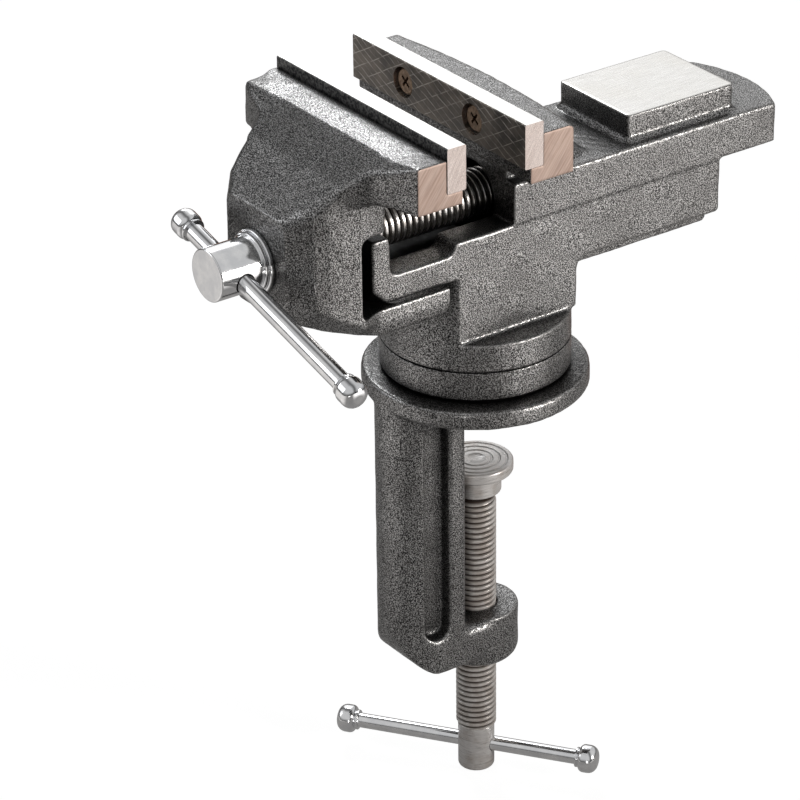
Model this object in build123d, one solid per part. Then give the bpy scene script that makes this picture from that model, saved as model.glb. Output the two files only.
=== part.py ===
from build123d import *
import os

# Clamp-on swivelling table vise, in millimetres.
# Origin: on the swivel axis, on the flange's underside, where the vise seats on a table top.
# +Z is up, -Y is the lead screw's head, +Y is the anvil, +X is the side with the open rail.

# ---- driving dimensions -------------------------------------------------------------------------

# Base flange, swivel ring and turret, all round about the swivel axis.
FLANGE_R = 32.8
FLANGE_TOP = 6.0
FLANGE_EDGE = 0.7
TURRET_R = 27.4
RING_TOP = 15.5
TURRET_LEDGE = 24.2
RING_LIP = 1.2
PARTING_EDGE = 0.35
SPIGOT_R = 14.0
SPIGOT_TOP = 22.0

# Column and foot of the clamp frame.
COLUMN_HALF = 12.5
COLUMN_NOSE = -20.4
COLUMN_BACK = -11.6
COLUMN_TOP = 1.0
COLUMN_INNER_ROUND = 3.0
FOOT_TOP = -73.7
FOOT_BOTTOM = -90.7
FOOT_EDGE_ROUND = 3.5
ARM_BOTTOM = -87.6
ARM_HEEL_ROUND = 18.0
ARM_SIDE_ROUND = 5.0
ARM_THROAT_ROUND = 2.0
POCKET_DEPTH = 4.6
POCKET_FRONT = -26.0
POCKET_BACK = -18.4
POCKET_TOP = -4.0
POCKET_BOTTOM = -74.0
POCKET_ROUND = 3.5

# Clamp screw, pad and bar.
CLAMP_MAJOR_R = 6.0
CLAMP_PITCH = 1.75
CLAMP_BARREL_R = 5.45
PAD_TOP = -26.0
PAD_R = 11.0
PAD_FLANGE = 3.5
PAD_EDGE_ROUND = 0.8
PAD_CUP_R = 7.5
PAD_BOTTOM = -36.0
BALL_R = 4.2
BALL_Z = -32.0
NECK_R = 3.1
CLAMP_THREAD_TOP = -38.0
CLAMP_THREAD_END = -116.4
CLAMP_BARREL_END = -130.6
CLAMP_BARREL_ROUND = 1.0
CLAMP_BAR_Z = -122.7
CLAMP_BAR_R = 2.25
CLAMP_BAR_LENGTH = 75.7
CLAMP_BAR_TURN = 35.8
CLAMP_BAR_OFFSET = -2.9
CLAMP_END_R = 4.25
CLAMP_END_LENGTH = 6.0

# Bed, rails, table and anvil of the fixed body.
BODY_HALF = 19.2
SLAB_HALF = 19.45
RAIL_BOTTOM = 44.4
RAIL_TOP = 55.8
HORN_TOP = 63.9
HORN_FRONT = -48.9
HORN_BACK = -42.9
HORN_ROUND = 0.8
NOTCH_FLOOR = 52.4
NOTCH_BACK = -21.9
NOTCH_ROUND = 2.2
NOTCH_FRONT_LEAN = 0.5
NOTCH_BACK_LEAN = 1.4
NOTCH_TOP_ROUND = 1.0
STEP_Y = -0.8
BED_PLAN_ROUND = 1.2
BED_LOW_ROUND = 2.4
BED_CORNER_CUT = 5.0
SLAB_BOTTOM = 55.9
TABLE_TOP = 68.2
TABLE_CORNER_Y = 93.2
TABLE_END_Y = 98.7
TABLE_RIM_ROUND = 0.9
BLOCK_END_Y = 73.4
BLOCK_BOTTOM = 39.3
BLOCK_END_ROUND = 1.5
BAND_BOTTOM = 36.2
BAND_HALF = 16.8
BAND_FRONT = 22.5
BAND_END_Y = 70.4
BAND_FRONT_LEAN = 2.0
BAND_END_ROUND = 2.0
NECK_Y = 21.7
NECK_ROUND = 4.0
ANVIL_HALF = 15.9
ANVIL_FRONT = 41.8
ANVIL_BACK = 80.5
ANVIL_TOP = 76.2
ANVIL_CORNER_ROUND = 1.3
ANVIL_EDGE_ROUND = 0.5
ANVIL_SPREAD = 1.6
ANVIL_SPREAD_TOP = 69.6
ANVIL_SPREAD_ROUND = 3.0

# Channel for the lead screw, and the T-slot under it for the guide bar.
CHANNEL_HALF = 9.7
CHANNEL_FLOOR = 49.7
SLOT_HALF = 13.0
SLOT_FLOOR = 46.2
SLOT_BACK = 15.5

# Jaws and jaw plates.
JAW_HALF = 40.0
PLATE_TOP = 96.3
PLATE_BOTTOM = 83.2
PLATE_THICK = 6.1
FRONT_PLATE_FACE = -32.6
REAR_PLATE_FACE = -12.9
FRONT_JAW_TOP = 93.1
FRONT_JAW_BOTTOM = 79.1
FRONT_JAW_FRONT = -48.4
FRONT_LEDGE_FACE = -33.6
REAR_JAW_TOP = 92.5
REAR_JAW_BOTTOM = 78.4
REAR_JAW_BACK = 3.7
REAR_JAW_BULGE = 6.9
REAR_LEDGE_FACE = -11.1
REAR_JAW_EDGE_ROUND = 2.0
BUTTRESS_HALF = 15.5
BUTTRESS_FOOT = 29.0
BUTTRESS_FOOT_TOP = 68.6
BUTTRESS_MIDDLE = (14.0, 76.0)
BUTTRESS_HEAD = (5.2, 89.0)
BUTTRESS_ROUND = 3.0
PLATE_EDGE = 0.3
JAW_SCREW_X = 16.0
JAW_SCREW_Z = 89.8
JAW_SCREW_HEAD_R = 3.9
JAW_SCREW_SINK_R = 4.5
JAW_SCREW_TURN = 38.0
JAW_SCREW_HEAD = 2.6
JAW_SCREW_EDGE = 0.5
JAW_SCREW_R = 2.0
JAW_SCREW_HOLE = 11.5
JAW_SCREW_LENGTH = 11.0
HEAD_SINK = 0.9
RECESS_ARM = 2.0
RECESS_WIDTH = 0.8
RECESS_DEPTH = 1.4

# Cross-sections of the movable casting, front to back: y, top half-width, top, corner round,
# side half-width, lower ridge, bottom half-width, bottom.
NOSE_SECTIONS = (
    (-73.6, 14.0, 74.4, 3.5, 14.2, 51.4, 9.0, 44.0),
    (-68.6, 19.5, 78.4, 3.0, 21.1, 49.6, 15.0, 42.9),
    (-64.3, 21.4, 81.8, 2.5, 22.6, 47.0, 18.0, 41.4),
    (-60.2, 22.7, 85.1, 2.5, 23.4, 44.6, 19.2, 40.1),
    (-55.0, 24.0, 88.2, 2.0, 24.4, 42.0, 20.6, 38.6),
    (-47.3, 24.3, 91.4, 2.0, 22.0, 40.5, 20.6, 35.8),
)
NOSE_FRONT = -73.6
RIDGE_ROUND = 1.5
SOLE_ROUND = 1.5
CASTING_HALF = 24.4
CASTING_BACK = -47.3
WING_EDGE_ROUND = 1.5
WING_ROOT = (22.4, -61.0)
WING_BEND = (26.2, -54.2)
WING_BEND_ROUND = 3.0
WING_ROOT_TOP = 84.3
WING_BEND_TOP = 88.7
CAVITY_HALF = 19.5
CAVITY_FRONT = -69.0
CAVITY_TOP = 68.1
CAVITY_TOP_ROUND = 0.8
CAVITY_PLAN_ROUND = 2.2
CAVITY_LOW_ROUND = 3.0
CAVITY_CORNER_CUT = 5.5
FLOOR_ARC_R = 32.5
FLOOR_ARC_Y = -15.5
LIP_TOP = 44.1
LIP_END = -24.0
LIP_END_ROUND = 4.5
WINDOW_FRONT = -55.3
WINDOW_ROUND = 2.0

# Lead screw, its nut, washer, collar and bar.
LEAD_Z = 58.8
LEAD_MAJOR_R = 7.0
LEAD_PITCH = 2.0
LEAD_HEAD_R = 7.56
LEAD_HEAD_FACE = -89.6
LEAD_HEAD_ROUND = 0.5
LEAD_SHOULDER_R = 8.5
LEAD_SHOULDER = 1.2
LEAD_WASHER_R = 9.2
LEAD_WASHER = 1.4
LEAD_RING_ROUND = 0.4
LEAD_JOURNAL_R = 7.1
WASHER_FACE = NOSE_FRONT - LEAD_WASHER
SHOULDER_FACE = WASHER_FACE - LEAD_SHOULDER
COLLAR_R = 8.8
COLLAR_EDGE = 0.8
COLLAR_FRONT = -68.9
COLLAR_BACK = -63.2
COLLAR_PIN_Y = -66.05
COLLAR_PIN_HALF = 8.4
LEAD_THREAD_START = -61.5
LEAD_THREAD_END = 50.0
NUT_R = 9.5
NUT_FRONT = 16.0
NUT_BACK = 28.0
NUT_SCREW_Y = 25.2
NUT_SCREW_LOW = 37.7
NUT_SCREW_HIGH = 49.2
NUT_SCREW_KEY_R = 1.4
NUT_SCREW_KEY_DEPTH = 2.5
SCREW_BORE_R = 7.5
LEAD_BAR_Y = -82.0
LEAD_BAR_R = 2.7
LEAD_BAR_LENGTH = 80.4
LEAD_BAR_DROP = 14.0
LEAD_BAR_OFFSET = 18.0
LEAD_END_R = 4.0
LEAD_END_LENGTH = 6.6

# Ends of both long bars: a neck ring, then a wider rounded knob.
END_NECK = 0.6
END_NECK_WALL = 0.8
END_ROUND = 0.9
BAR_EDGE = 0.3

# Guide bar, the narrow tongue by which the casting holds it, and the two pins.
GUIDE_HALF = 12.9
GUIDE_BOTTOM = 46.3
GUIDE_TOP = 49.6
GUIDE_FRONT = -68.0
GUIDE_BACK = -6.0
TONGUE_HALF = 8.5
TONGUE_FRONT = -72.0
GUIDE_PIN_X = 5.5
GUIDE_PIN_Y = -70.4
GUIDE_PIN_R = 1.0
GUIDE_PIN_LOW = 44.8
GUIDE_PIN_HIGH = 51.5

# Pivot bolt and swivel lock.
PIVOT_R = 5.0
PIVOT_BOTTOM = 2.5
PIVOT_SEAT = 33.5
PIVOT_WASHER = 1.6
PIVOT_HEAD_R = 8.0
PIVOT_HEAD = 8.0
PIVOT_WASHER_R = 8.5
PIVOT_WELL_R = 8.8
PIVOT_HOLE_BOTTOM = 2.0
HEX_KEY_R = 4.6
HEX_SIDES = 6
HEX_KEY_DEPTH = 4.5
LOCK_Z = 19.4
LOCK_R = 2.5
LOCK_TIP = -14.15
LOCK_HEAD_R = 4.4
LOCK_HEAD_ROUND = 0.6
LOCK_HEAD_START = -28.6
LOCK_HEAD_END = -40.6
LOCK_BAR_X = -37.2
LOCK_BAR_R = 1.6
LOCK_BAR_LENGTH = 30.0
LOCK_BAR_TILT = 28.0
LOCK_END_R = 2.4

# Thread form, as shares of the pitch: depth of the groove, and length of each flank.
THREAD_DEPTH = 0.54
THREAD_FLANK = 0.44

# Fits and clearances: a press or thread fit, a running fit, a loose hole, an open gap, and how far
# a cutting tool runs past the face that it cuts.
FIT = 0.01
RUN = 0.05
EASY = 0.15
GAP = 0.3
OVER = 1.0


# ---- helpers ------------------------------------------------------------------------------------

def block(x0, x1, y0, y1, z0, z1):
    """A rectangular block between two corners."""
    centre = Pos((x0 + x1) / 2, (y0 + y1) / 2, (z0 + z1) / 2)
    return centre * Box(x1 - x0, y1 - y0, z1 - z0)


def upright(radius, z0, z1, x=0.0, y=0.0):
    """A cylinder along Z."""
    return Pos(x, y, (z0 + z1) / 2) * Cylinder(radius, z1 - z0)


def along_y(radius, y0, y1, x=0.0, z=LEAD_Z):
    """A cylinder along Y, on the lead screw's axis unless told otherwise."""
    return Pos(x, (y0 + y1) / 2, z) * Rot(90, 0, 0) * Cylinder(radius, y1 - y0)


def along_x(radius, x0, x1, y=0.0, z=0.0):
    """A cylinder along X."""
    return Pos((x0 + x1) / 2, y, z) * Rot(0, 90, 0) * Cylinder(radius, x1 - x0)


def rounded_face(corners):
    """A flat face from (u, v, corner radius) triples."""
    points = [(u, v) for u, v, _ in corners]
    rounds = [r for _, _, r in corners]
    return make_face(FilletPolyline(*points, radius=rounds, close=True))


def side_prism(corners, half_width):
    """A solid with a (y, z) outline, as wide as the two half-widths."""
    return extrude(Plane.YZ * rounded_face(corners), half_width, both=True)


def plan_prism(corners, z0, z1):
    """A solid with an (x, y) outline between two levels."""
    return extrude(Plane.XY.offset(z0) * rounded_face(corners), z1 - z0)


def rings_at(solid, axis, level):
    """The circular edges that lie in one plane square to an axis."""
    rings = solid.edges().filter_by(GeomType.CIRCLE)
    return rings.filter_by_position(axis, level - RUN, level + RUN)


def turned(profile, plane):
    """A solid of revolution from (radius, height) points about the plane's own Y direction."""
    face = make_face(Polyline(*profile, close=True))
    return plane * revolve(face, Axis.Y)


def thread_profile(major, pitch, start, end):
    """Half-section of a threaded length, from the axis out, with one groove per pitch."""
    root_r = major - THREAD_DEPTH * pitch
    turns = int((end - start) / pitch) - 1
    lead_in = start + ((end - start) - turns * pitch) / 2
    points = [(0, start), (root_r, start)]
    for turn in range(turns):
        root = lead_in + turn * pitch
        points.append((root_r, root))
        points.append((major, root + THREAD_FLANK * pitch))
        points.append((major, root + (1 - THREAD_FLANK) * pitch))
    points += [(root_r, lead_in + turns * pitch), (root_r, end), (0, end)]
    return points


def cross_recess(x, face_y, z, inward):
    """The cross slot in a jaw screw's head, cut inward from the head's face and turned a little."""
    y0, y1 = sorted((face_y, face_y + inward * RECESS_DEPTH))
    narrow = RECESS_WIDTH / 2
    flat = block(-RECESS_ARM, RECESS_ARM, y0, y1, -narrow, narrow)
    tall = block(-narrow, narrow, y0, y1, -RECESS_ARM, RECESS_ARM)
    return Pos(x, 0, z) * Rot(0, JAW_SCREW_TURN, 0) * (flat + tall)


def bar_with_ends(length, rod_r, end_r, end_length):
    """A bar along X about the origin, and its two necked ends as separate solids."""
    rod = Rot(0, 90, 0) * Cylinder(rod_r, length)
    rod = fillet(rod.edges().filter_by(GeomType.CIRCLE), BAR_EDGE)
    reach = end_length / 2
    neck_r = rod_r + END_NECK_WALL
    outline = [
        (rod_r, -reach - END_NECK), (neck_r, -reach - END_NECK), (neck_r, -reach),
        (end_r - END_ROUND, -reach), (end_r, -reach + END_ROUND), (end_r, reach - 2 * END_ROUND),
        (end_r - END_ROUND, reach - END_ROUND / 2), (end_r - 2 * END_ROUND, reach), (0, reach),
        (0, 0), (rod_r, 0),
    ]
    end = turned(outline, Plane(origin=(length / 2, 0, 0), x_dir=(0, 0, 1), z_dir=(0, 1, 0)))
    return rod, [end, Rot(0, 0, 180) * end]


def without_low_corners(solid, half, front, low, cut):
    """The solid with its two lower front corners cut off slantwise, each cut the same length."""
    for side in (-1, 1):
        corner = Plane(origin=(side * (half - cut), front, low), z_dir=(side, -1, -1))
        solid = split(solid, bisect_by=corner, keep=Keep.BOTTOM)
    return solid


# ---- clamp frame --------------------------------------------------------------------------------

def make_column():
    """The round-nosed column with the arm that bends back under the throat."""
    reach = COLUMN_NOSE - COLUMN_HALF
    outline = side_prism([
        (COLUMN_BACK, COLUMN_TOP, 0), (COLUMN_BACK, FOOT_TOP, ARM_THROAT_ROUND), (0, FOOT_TOP, 0),
        (0, ARM_BOTTOM, 0), (reach, ARM_BOTTOM, ARM_HEEL_ROUND), (reach, COLUMN_TOP, 0),
    ], COLUMN_HALF)
    nose = COLUMN_HALF - FIT
    plan = plan_prism([
        (-COLUMN_HALF, reach, nose), (COLUMN_HALF, reach, nose), (COLUMN_HALF, 0, 0), (-COLUMN_HALF, 0, 0),
    ], ARM_BOTTOM, COLUMN_TOP)
    front = extrude(Plane.XZ * rounded_face([
        (-COLUMN_HALF, ARM_BOTTOM, ARM_SIDE_ROUND), (COLUMN_HALF, ARM_BOTTOM, ARM_SIDE_ROUND),
        (COLUMN_HALF, COLUMN_TOP, 0), (-COLUMN_HALF, COLUMN_TOP, 0),
    ]), -reach)
    column = outline & plan & front
    inner = column.edges().filter_by(Axis.Z)
    inner = inner.filter_by_position(Axis.Y, COLUMN_BACK - RUN, COLUMN_BACK + RUN)
    return fillet(inner, COLUMN_INNER_ROUND)


def make_clamp_frame():
    """Flange, spigot, column and foot boss in one casting."""
    flange = upright(FLANGE_R, 0, FLANGE_TOP)
    flange = chamfer(flange.edges().filter_by(GeomType.CIRCLE), FLANGE_EDGE)
    spigot = upright(SPIGOT_R, FLANGE_TOP, SPIGOT_TOP)
    boss = upright(COLUMN_HALF, FOOT_BOTTOM, FOOT_TOP)
    boss = fillet(rings_at(boss, Axis.Z, FOOT_BOTTOM), FOOT_EDGE_ROUND)
    frame = flange + spigot + make_column() + boss

    for side in (-1, 1):
        near, far = sorted((side * (COLUMN_HALF - POCKET_DEPTH), side * (COLUMN_HALF + OVER)))
        pocket = block(near, far, POCKET_FRONT, POCKET_BACK, POCKET_BOTTOM, POCKET_TOP)
        frame -= fillet(pocket.edges().filter_by(Axis.X), POCKET_ROUND)

    frame -= upright(CLAMP_MAJOR_R + RUN, FOOT_BOTTOM - OVER, FOOT_TOP + OVER)
    frame -= upright(PIVOT_R + RUN, PIVOT_HOLE_BOTTOM, SPIGOT_TOP + OVER)
    return frame


def make_swivel_ring():
    """Turned band that the body turns on, with a lip cut under its lower edge."""
    inner = SPIGOT_R + RUN
    profile = [
        (inner, FLANGE_TOP), (TURRET_R - RING_LIP, FLANGE_TOP), (TURRET_R, FLANGE_TOP + RING_LIP),
        (TURRET_R, RING_TOP - PARTING_EDGE), (TURRET_R - PARTING_EDGE, RING_TOP), (inner, RING_TOP),
    ]
    return turned(profile, Plane.XZ)


def make_pivot_bolt():
    """Socket-head bolt that the body turns about, screwed down into the flange's spigot."""
    seat = PIVOT_SEAT + PIVOT_WASHER
    head_top = seat + PIVOT_HEAD
    bolt = upright(PIVOT_R, PIVOT_BOTTOM, seat) + upright(PIVOT_HEAD_R, seat, head_top)
    key = Plane.XY.offset(head_top - HEX_KEY_DEPTH) * RegularPolygon(HEX_KEY_R, HEX_SIDES)
    return bolt - extrude(key, HEX_KEY_DEPTH)


def make_pivot_washer():
    """Plain washer under the pivot bolt's head."""
    disc = upright(PIVOT_WASHER_R, PIVOT_SEAT, PIVOT_SEAT + PIVOT_WASHER)
    return disc - upright(PIVOT_R + EASY, PIVOT_SEAT - OVER, PIVOT_SEAT + PIVOT_WASHER + OVER)


# ---- clamp screw --------------------------------------------------------------------------------

def make_clamp_pad():
    """Pressure pad with a captive socket for the screw's ball."""
    disc = upright(PAD_R, PAD_TOP - PAD_FLANGE, PAD_TOP)
    disc = fillet(disc.edges().filter_by(GeomType.CIRCLE), PAD_EDGE_ROUND)
    cup = upright(PAD_CUP_R, PAD_BOTTOM, PAD_TOP - PAD_EDGE_ROUND)
    pad = disc + cup - Pos(0, 0, BALL_Z) * Sphere(BALL_R + RUN)
    return pad - upright(NECK_R + EASY, PAD_BOTTOM - OVER, BALL_Z)


def make_clamp_screw():
    """Ball, neck, thread and cross-drilled barrel in one spindle."""
    ball = Pos(0, 0, BALL_Z) * Sphere(BALL_R)
    neck = upright(NECK_R, CLAMP_THREAD_TOP - OVER, BALL_Z)
    profile = thread_profile(CLAMP_MAJOR_R, CLAMP_PITCH, CLAMP_THREAD_END, CLAMP_THREAD_TOP)
    thread = turned(profile, Plane.XZ)
    barrel = upright(CLAMP_BARREL_R, CLAMP_BARREL_END, CLAMP_THREAD_END + OVER)
    barrel = fillet(rings_at(barrel, Axis.Z, CLAMP_BARREL_END), CLAMP_BARREL_ROUND)
    screw = ball + neck + thread + barrel
    through = along_x(CLAMP_BAR_R + RUN, -CLAMP_MAJOR_R - OVER, CLAMP_MAJOR_R + OVER)
    return screw - Pos(0, 0, CLAMP_BAR_Z) * Rot(0, 0, CLAMP_BAR_TURN) * through


def make_clamp_bar():
    """The clamp screw's bar and its two ends, where the photograph shows them."""
    rod, ends = bar_with_ends(CLAMP_BAR_LENGTH, CLAMP_BAR_R, CLAMP_END_R, CLAMP_END_LENGTH)
    place = Pos(0, 0, CLAMP_BAR_Z) * Rot(0, 0, CLAMP_BAR_TURN) * Pos(CLAMP_BAR_OFFSET, 0, 0)
    return place * rod, [place * end for end in ends]


# ---- fixed body ---------------------------------------------------------------------------------

def bed_core():
    """Bed, rails, neck and lower block as one outline seen from the side."""
    core = side_prism([
        (HORN_FRONT, HORN_TOP, HORN_ROUND), (HORN_BACK, HORN_TOP, HORN_ROUND),
        (HORN_BACK + NOTCH_FRONT_LEAN, NOTCH_FLOOR, NOTCH_ROUND), (NOTCH_BACK, NOTCH_FLOOR, NOTCH_ROUND),
        (NOTCH_BACK + NOTCH_BACK_LEAN, RAIL_TOP, NOTCH_TOP_ROUND), (STEP_Y, RAIL_TOP, 0),
        (STEP_Y, SLAB_BOTTOM, 0), (BLOCK_END_Y, SLAB_BOTTOM, 0),
        (BLOCK_END_Y, BLOCK_BOTTOM, BLOCK_END_ROUND), (NECK_Y, BLOCK_BOTTOM, NECK_ROUND),
        (NECK_Y, TURRET_LEDGE, 0), (-TURRET_R, TURRET_LEDGE, 0),
        (-TURRET_R, RAIL_BOTTOM, 0), (HORN_FRONT, RAIL_BOTTOM, BED_LOW_ROUND),
    ], BODY_HALF)
    plan = plan_prism([
        (-BODY_HALF, HORN_FRONT, BED_PLAN_ROUND), (BODY_HALF, HORN_FRONT, BED_PLAN_ROUND),
        (BODY_HALF, BLOCK_END_Y, 0), (-BODY_HALF, BLOCK_END_Y, 0),
    ], TURRET_LEDGE, HORN_TOP)
    core = without_low_corners(core & plan, BODY_HALF, HORN_FRONT, RAIL_BOTTOM, BED_CORNER_CUT)
    before_neck = block(-BODY_HALF, BODY_HALF, -TURRET_R - OVER, 0, TURRET_LEDGE - OVER, RAIL_BOTTOM)
    return core - (before_neck - upright(TURRET_R, TURRET_LEDGE - 2 * OVER, RAIL_BOTTOM + OVER))


def table_slab():
    """Flat table with its curved rear end."""
    left = (-SLAB_HALF, TABLE_CORNER_Y)
    right = (SLAB_HALF, TABLE_CORNER_Y)
    outline = make_face(
        Polyline(left, (-SLAB_HALF, STEP_Y), (SLAB_HALF, STEP_Y), right)
        + ThreePointArc(right, (0, TABLE_END_Y), left)
    )
    slab = extrude(Plane.XY.offset(SLAB_BOTTOM) * outline, TABLE_TOP - SLAB_BOTTOM)
    rim = slab.edges().filter_by_position(Axis.Z, TABLE_TOP - RUN, TABLE_TOP + RUN)
    rim = rim.filter_by_position(Axis.Y, STEP_Y + OVER, TABLE_END_Y + OVER)
    return fillet(rim, TABLE_RIM_ROUND)


def anvil_pad():
    """Raised anvil with a spread foot where it meets the table."""
    length = ANVIL_BACK - ANVIL_FRONT
    width = 2 * ANVIL_HALF
    upper = RectangleRounded(width, length, ANVIL_CORNER_ROUND)
    lower = RectangleRounded(width + 2 * ANVIL_SPREAD, length + 2 * ANVIL_SPREAD, ANVIL_SPREAD_ROUND)
    pad = extrude(Plane.XY.offset(TABLE_TOP) * upper, ANVIL_TOP - TABLE_TOP)
    top = pad.edges().filter_by_position(Axis.Z, ANVIL_TOP - RUN, ANVIL_TOP + RUN)
    pad = fillet(top, ANVIL_EDGE_ROUND)
    foot = Plane.XY.offset(TABLE_TOP - GAP) * lower
    spread = loft([foot, Plane.XY.offset(ANVIL_SPREAD_TOP) * upper])
    return Pos(0, (ANVIL_FRONT + ANVIL_BACK) / 2, 0) * (pad + spread)


def rear_buttress():
    """The curved foot that carries the rear jaw down to the table."""
    head_y, head_z = BUTTRESS_HEAD
    foot = (BUTTRESS_FOOT, BUTTRESS_FOOT_TOP)
    inside = SLAB_BOTTOM + OVER
    profile = make_face(
        Polyline(BUTTRESS_HEAD, (STEP_Y, head_z), (STEP_Y, inside), (BUTTRESS_FOOT, inside), foot)
        + ThreePointArc(foot, BUTTRESS_MIDDLE, BUTTRESS_HEAD)
    )
    buttress = extrude(Plane.YZ * profile, BUTTRESS_HALF, both=True)
    return fillet(buttress.edges().filter_by(GeomType.CIRCLE), BUTTRESS_ROUND)


def rear_jaw_solid():
    """Rear jaw with its wings, its plate seat and its buttress."""
    left = (-JAW_HALF, REAR_JAW_BACK)
    right = (JAW_HALF, REAR_JAW_BACK)
    plan = make_face(
        Polyline(left, (-JAW_HALF, REAR_LEDGE_FACE), (JAW_HALF, REAR_LEDGE_FACE), right)
        + ThreePointArc(right, (0, REAR_JAW_BULGE), left)
    )
    jaw = extrude(Plane.XY.offset(REAR_JAW_BOTTOM) * plan, REAR_JAW_TOP - REAR_JAW_BOTTOM)
    jaw = fillet(rings_at(jaw, Axis.Z, REAR_JAW_TOP), REAR_JAW_EDGE_ROUND)
    seat_back = REAR_PLATE_FACE + PLATE_THICK
    seat = block(-JAW_HALF, JAW_HALF, REAR_LEDGE_FACE - OVER, seat_back, PLATE_BOTTOM, PLATE_TOP)
    return jaw + rear_buttress() - seat


def body_bores():
    """All that is cut out of the fixed body: channel, slot, wells and screw holes."""
    front = HORN_FRONT - OVER
    cuts = block(-CHANNEL_HALF, CHANNEL_HALF, front, STEP_Y, CHANNEL_FLOOR, CAVITY_TOP)
    cuts += block(-SLOT_HALF, SLOT_HALF, front, SLOT_BACK, SLOT_FLOOR, CHANNEL_FLOOR)
    cuts += along_y(NUT_R + RUN, STEP_Y - OVER, NUT_BACK)
    cuts += along_y(SCREW_BORE_R, NUT_BACK - OVER, BLOCK_END_Y + OVER)
    cuts += upright(LOCK_R + RUN, BAND_BOTTOM - OVER, LEAD_Z, y=NUT_SCREW_Y)
    cuts += upright(PIVOT_WELL_R, PIVOT_SEAT, CHANNEL_FLOOR + OVER)
    cuts += upright(PIVOT_R + GAP, RING_TOP - OVER, PIVOT_SEAT + OVER)
    cuts += upright(SPIGOT_R + RUN, RING_TOP - OVER, SPIGOT_TOP + GAP)
    cuts += along_x(LOCK_R + RUN, -TURRET_R - OVER, -SPIGOT_R + OVER, z=LOCK_Z)
    for x in (-JAW_SCREW_X, JAW_SCREW_X):
        end = REAR_PLATE_FACE + JAW_SCREW_HOLE
        cuts += along_y(JAW_SCREW_R + RUN, REAR_LEDGE_FACE, end, x, JAW_SCREW_Z)
    return cuts


def make_fixed_body():
    """Turret, bed, rear jaw, table and anvil in one casting."""
    turret = upright(TURRET_R, RING_TOP, TURRET_LEDGE)
    turret = chamfer(rings_at(turret, Axis.Z, RING_TOP), PARTING_EDGE)
    inside = BLOCK_BOTTOM + OVER
    band = side_prism([
        (BAND_FRONT, inside, 0), (BAND_FRONT - BAND_FRONT_LEAN, BAND_BOTTOM, 0),
        (BAND_END_Y, BAND_BOTTOM, BAND_END_ROUND), (BAND_END_Y, inside, 0),
    ], BAND_HALF)
    body = turret + bed_core() + band + table_slab() + anvil_pad() + rear_jaw_solid()
    return body - body_bores()


def make_lead_nut():
    """Round nut that the lead screw runs in."""
    nut = along_y(NUT_R, NUT_FRONT, NUT_BACK)
    return nut - along_y(LEAD_MAJOR_R + RUN, NUT_FRONT - OVER, NUT_BACK + OVER)


def make_lead_nut_screw():
    """Set screw from below that holds the nut."""
    screw = upright(LOCK_R, NUT_SCREW_LOW, NUT_SCREW_HIGH, y=NUT_SCREW_Y)
    key = Plane.XY.offset(NUT_SCREW_LOW) * Pos(0, NUT_SCREW_Y) * RegularPolygon(NUT_SCREW_KEY_R, HEX_SIDES)
    return screw - extrude(key, NUT_SCREW_KEY_DEPTH)


def lock_bar_place():
    """Where the lock bar lies: through the lock screw's head, leaning."""
    return Pos(LOCK_BAR_X, 0, LOCK_Z) * Rot(LOCK_BAR_TILT, 0, 0)


def make_lock_screw():
    """Radial screw that presses on the spigot, with a cross-drilled head."""
    shank = along_x(LOCK_R, LOCK_HEAD_START, LOCK_TIP, z=LOCK_Z)
    head = along_x(LOCK_HEAD_R, LOCK_HEAD_END, LOCK_HEAD_START, z=LOCK_Z)
    head = fillet(head.edges().filter_by(GeomType.CIRCLE), LOCK_HEAD_ROUND)
    through = Rot(90, 0, 0) * Cylinder(LOCK_BAR_R + FIT, LOCK_BAR_LENGTH)
    return shank + head - lock_bar_place() * through


def make_lock_bar():
    """Small bar fixed through the lock screw's head, with rolled ends."""
    bar = Rot(90, 0, 0) * Cylinder(LOCK_BAR_R, LOCK_BAR_LENGTH)
    for side in (-1, 1):
        bar += Pos(0, side * LOCK_BAR_LENGTH / 2, 0) * Sphere(LOCK_END_R)
    return lock_bar_place() * bar


# ---- jaw plates and their screws ----------------------------------------------------------------

def jaw_plate(face_y, inward):
    """Plate with its working face at face_y, going inward from it, with countersunk holes."""
    y0, y1 = sorted((face_y, face_y + inward * PLATE_THICK))
    plate = block(-JAW_HALF, JAW_HALF, y0, y1, PLATE_BOTTOM, PLATE_TOP)
    plate = chamfer(plate.edges().filter_by(Axis.X), PLATE_EDGE)
    for x in (-JAW_SCREW_X, JAW_SCREW_X):
        plate -= along_y(JAW_SCREW_R + EASY, y0 - OVER, y1 + OVER, x, JAW_SCREW_Z)
        sink = sorted((face_y - inward, face_y + inward * (HEAD_SINK + JAW_SCREW_HEAD)))
        plate -= along_y(JAW_SCREW_SINK_R, sink[0], sink[1], x, JAW_SCREW_Z)
    return plate


def jaw_screws(face_y, inward):
    """The two screws of one jaw plate."""
    screws = []
    head_face = face_y + inward * HEAD_SINK
    for x in (-JAW_SCREW_X, JAW_SCREW_X):
        head = sorted((head_face, head_face + inward * JAW_SCREW_HEAD))
        shank = sorted((head_face, face_y + inward * JAW_SCREW_LENGTH))
        cap = along_y(JAW_SCREW_HEAD_R, head[0], head[1], x, JAW_SCREW_Z)
        cap = chamfer(rings_at(cap, Axis.Y, head_face), JAW_SCREW_EDGE)
        screw = cap + along_y(JAW_SCREW_R, shank[0], shank[1], x, JAW_SCREW_Z)
        screws.append(screw - cross_recess(x, head_face, JAW_SCREW_Z, inward))
    return screws


# ---- movable jaw --------------------------------------------------------------------------------

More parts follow.
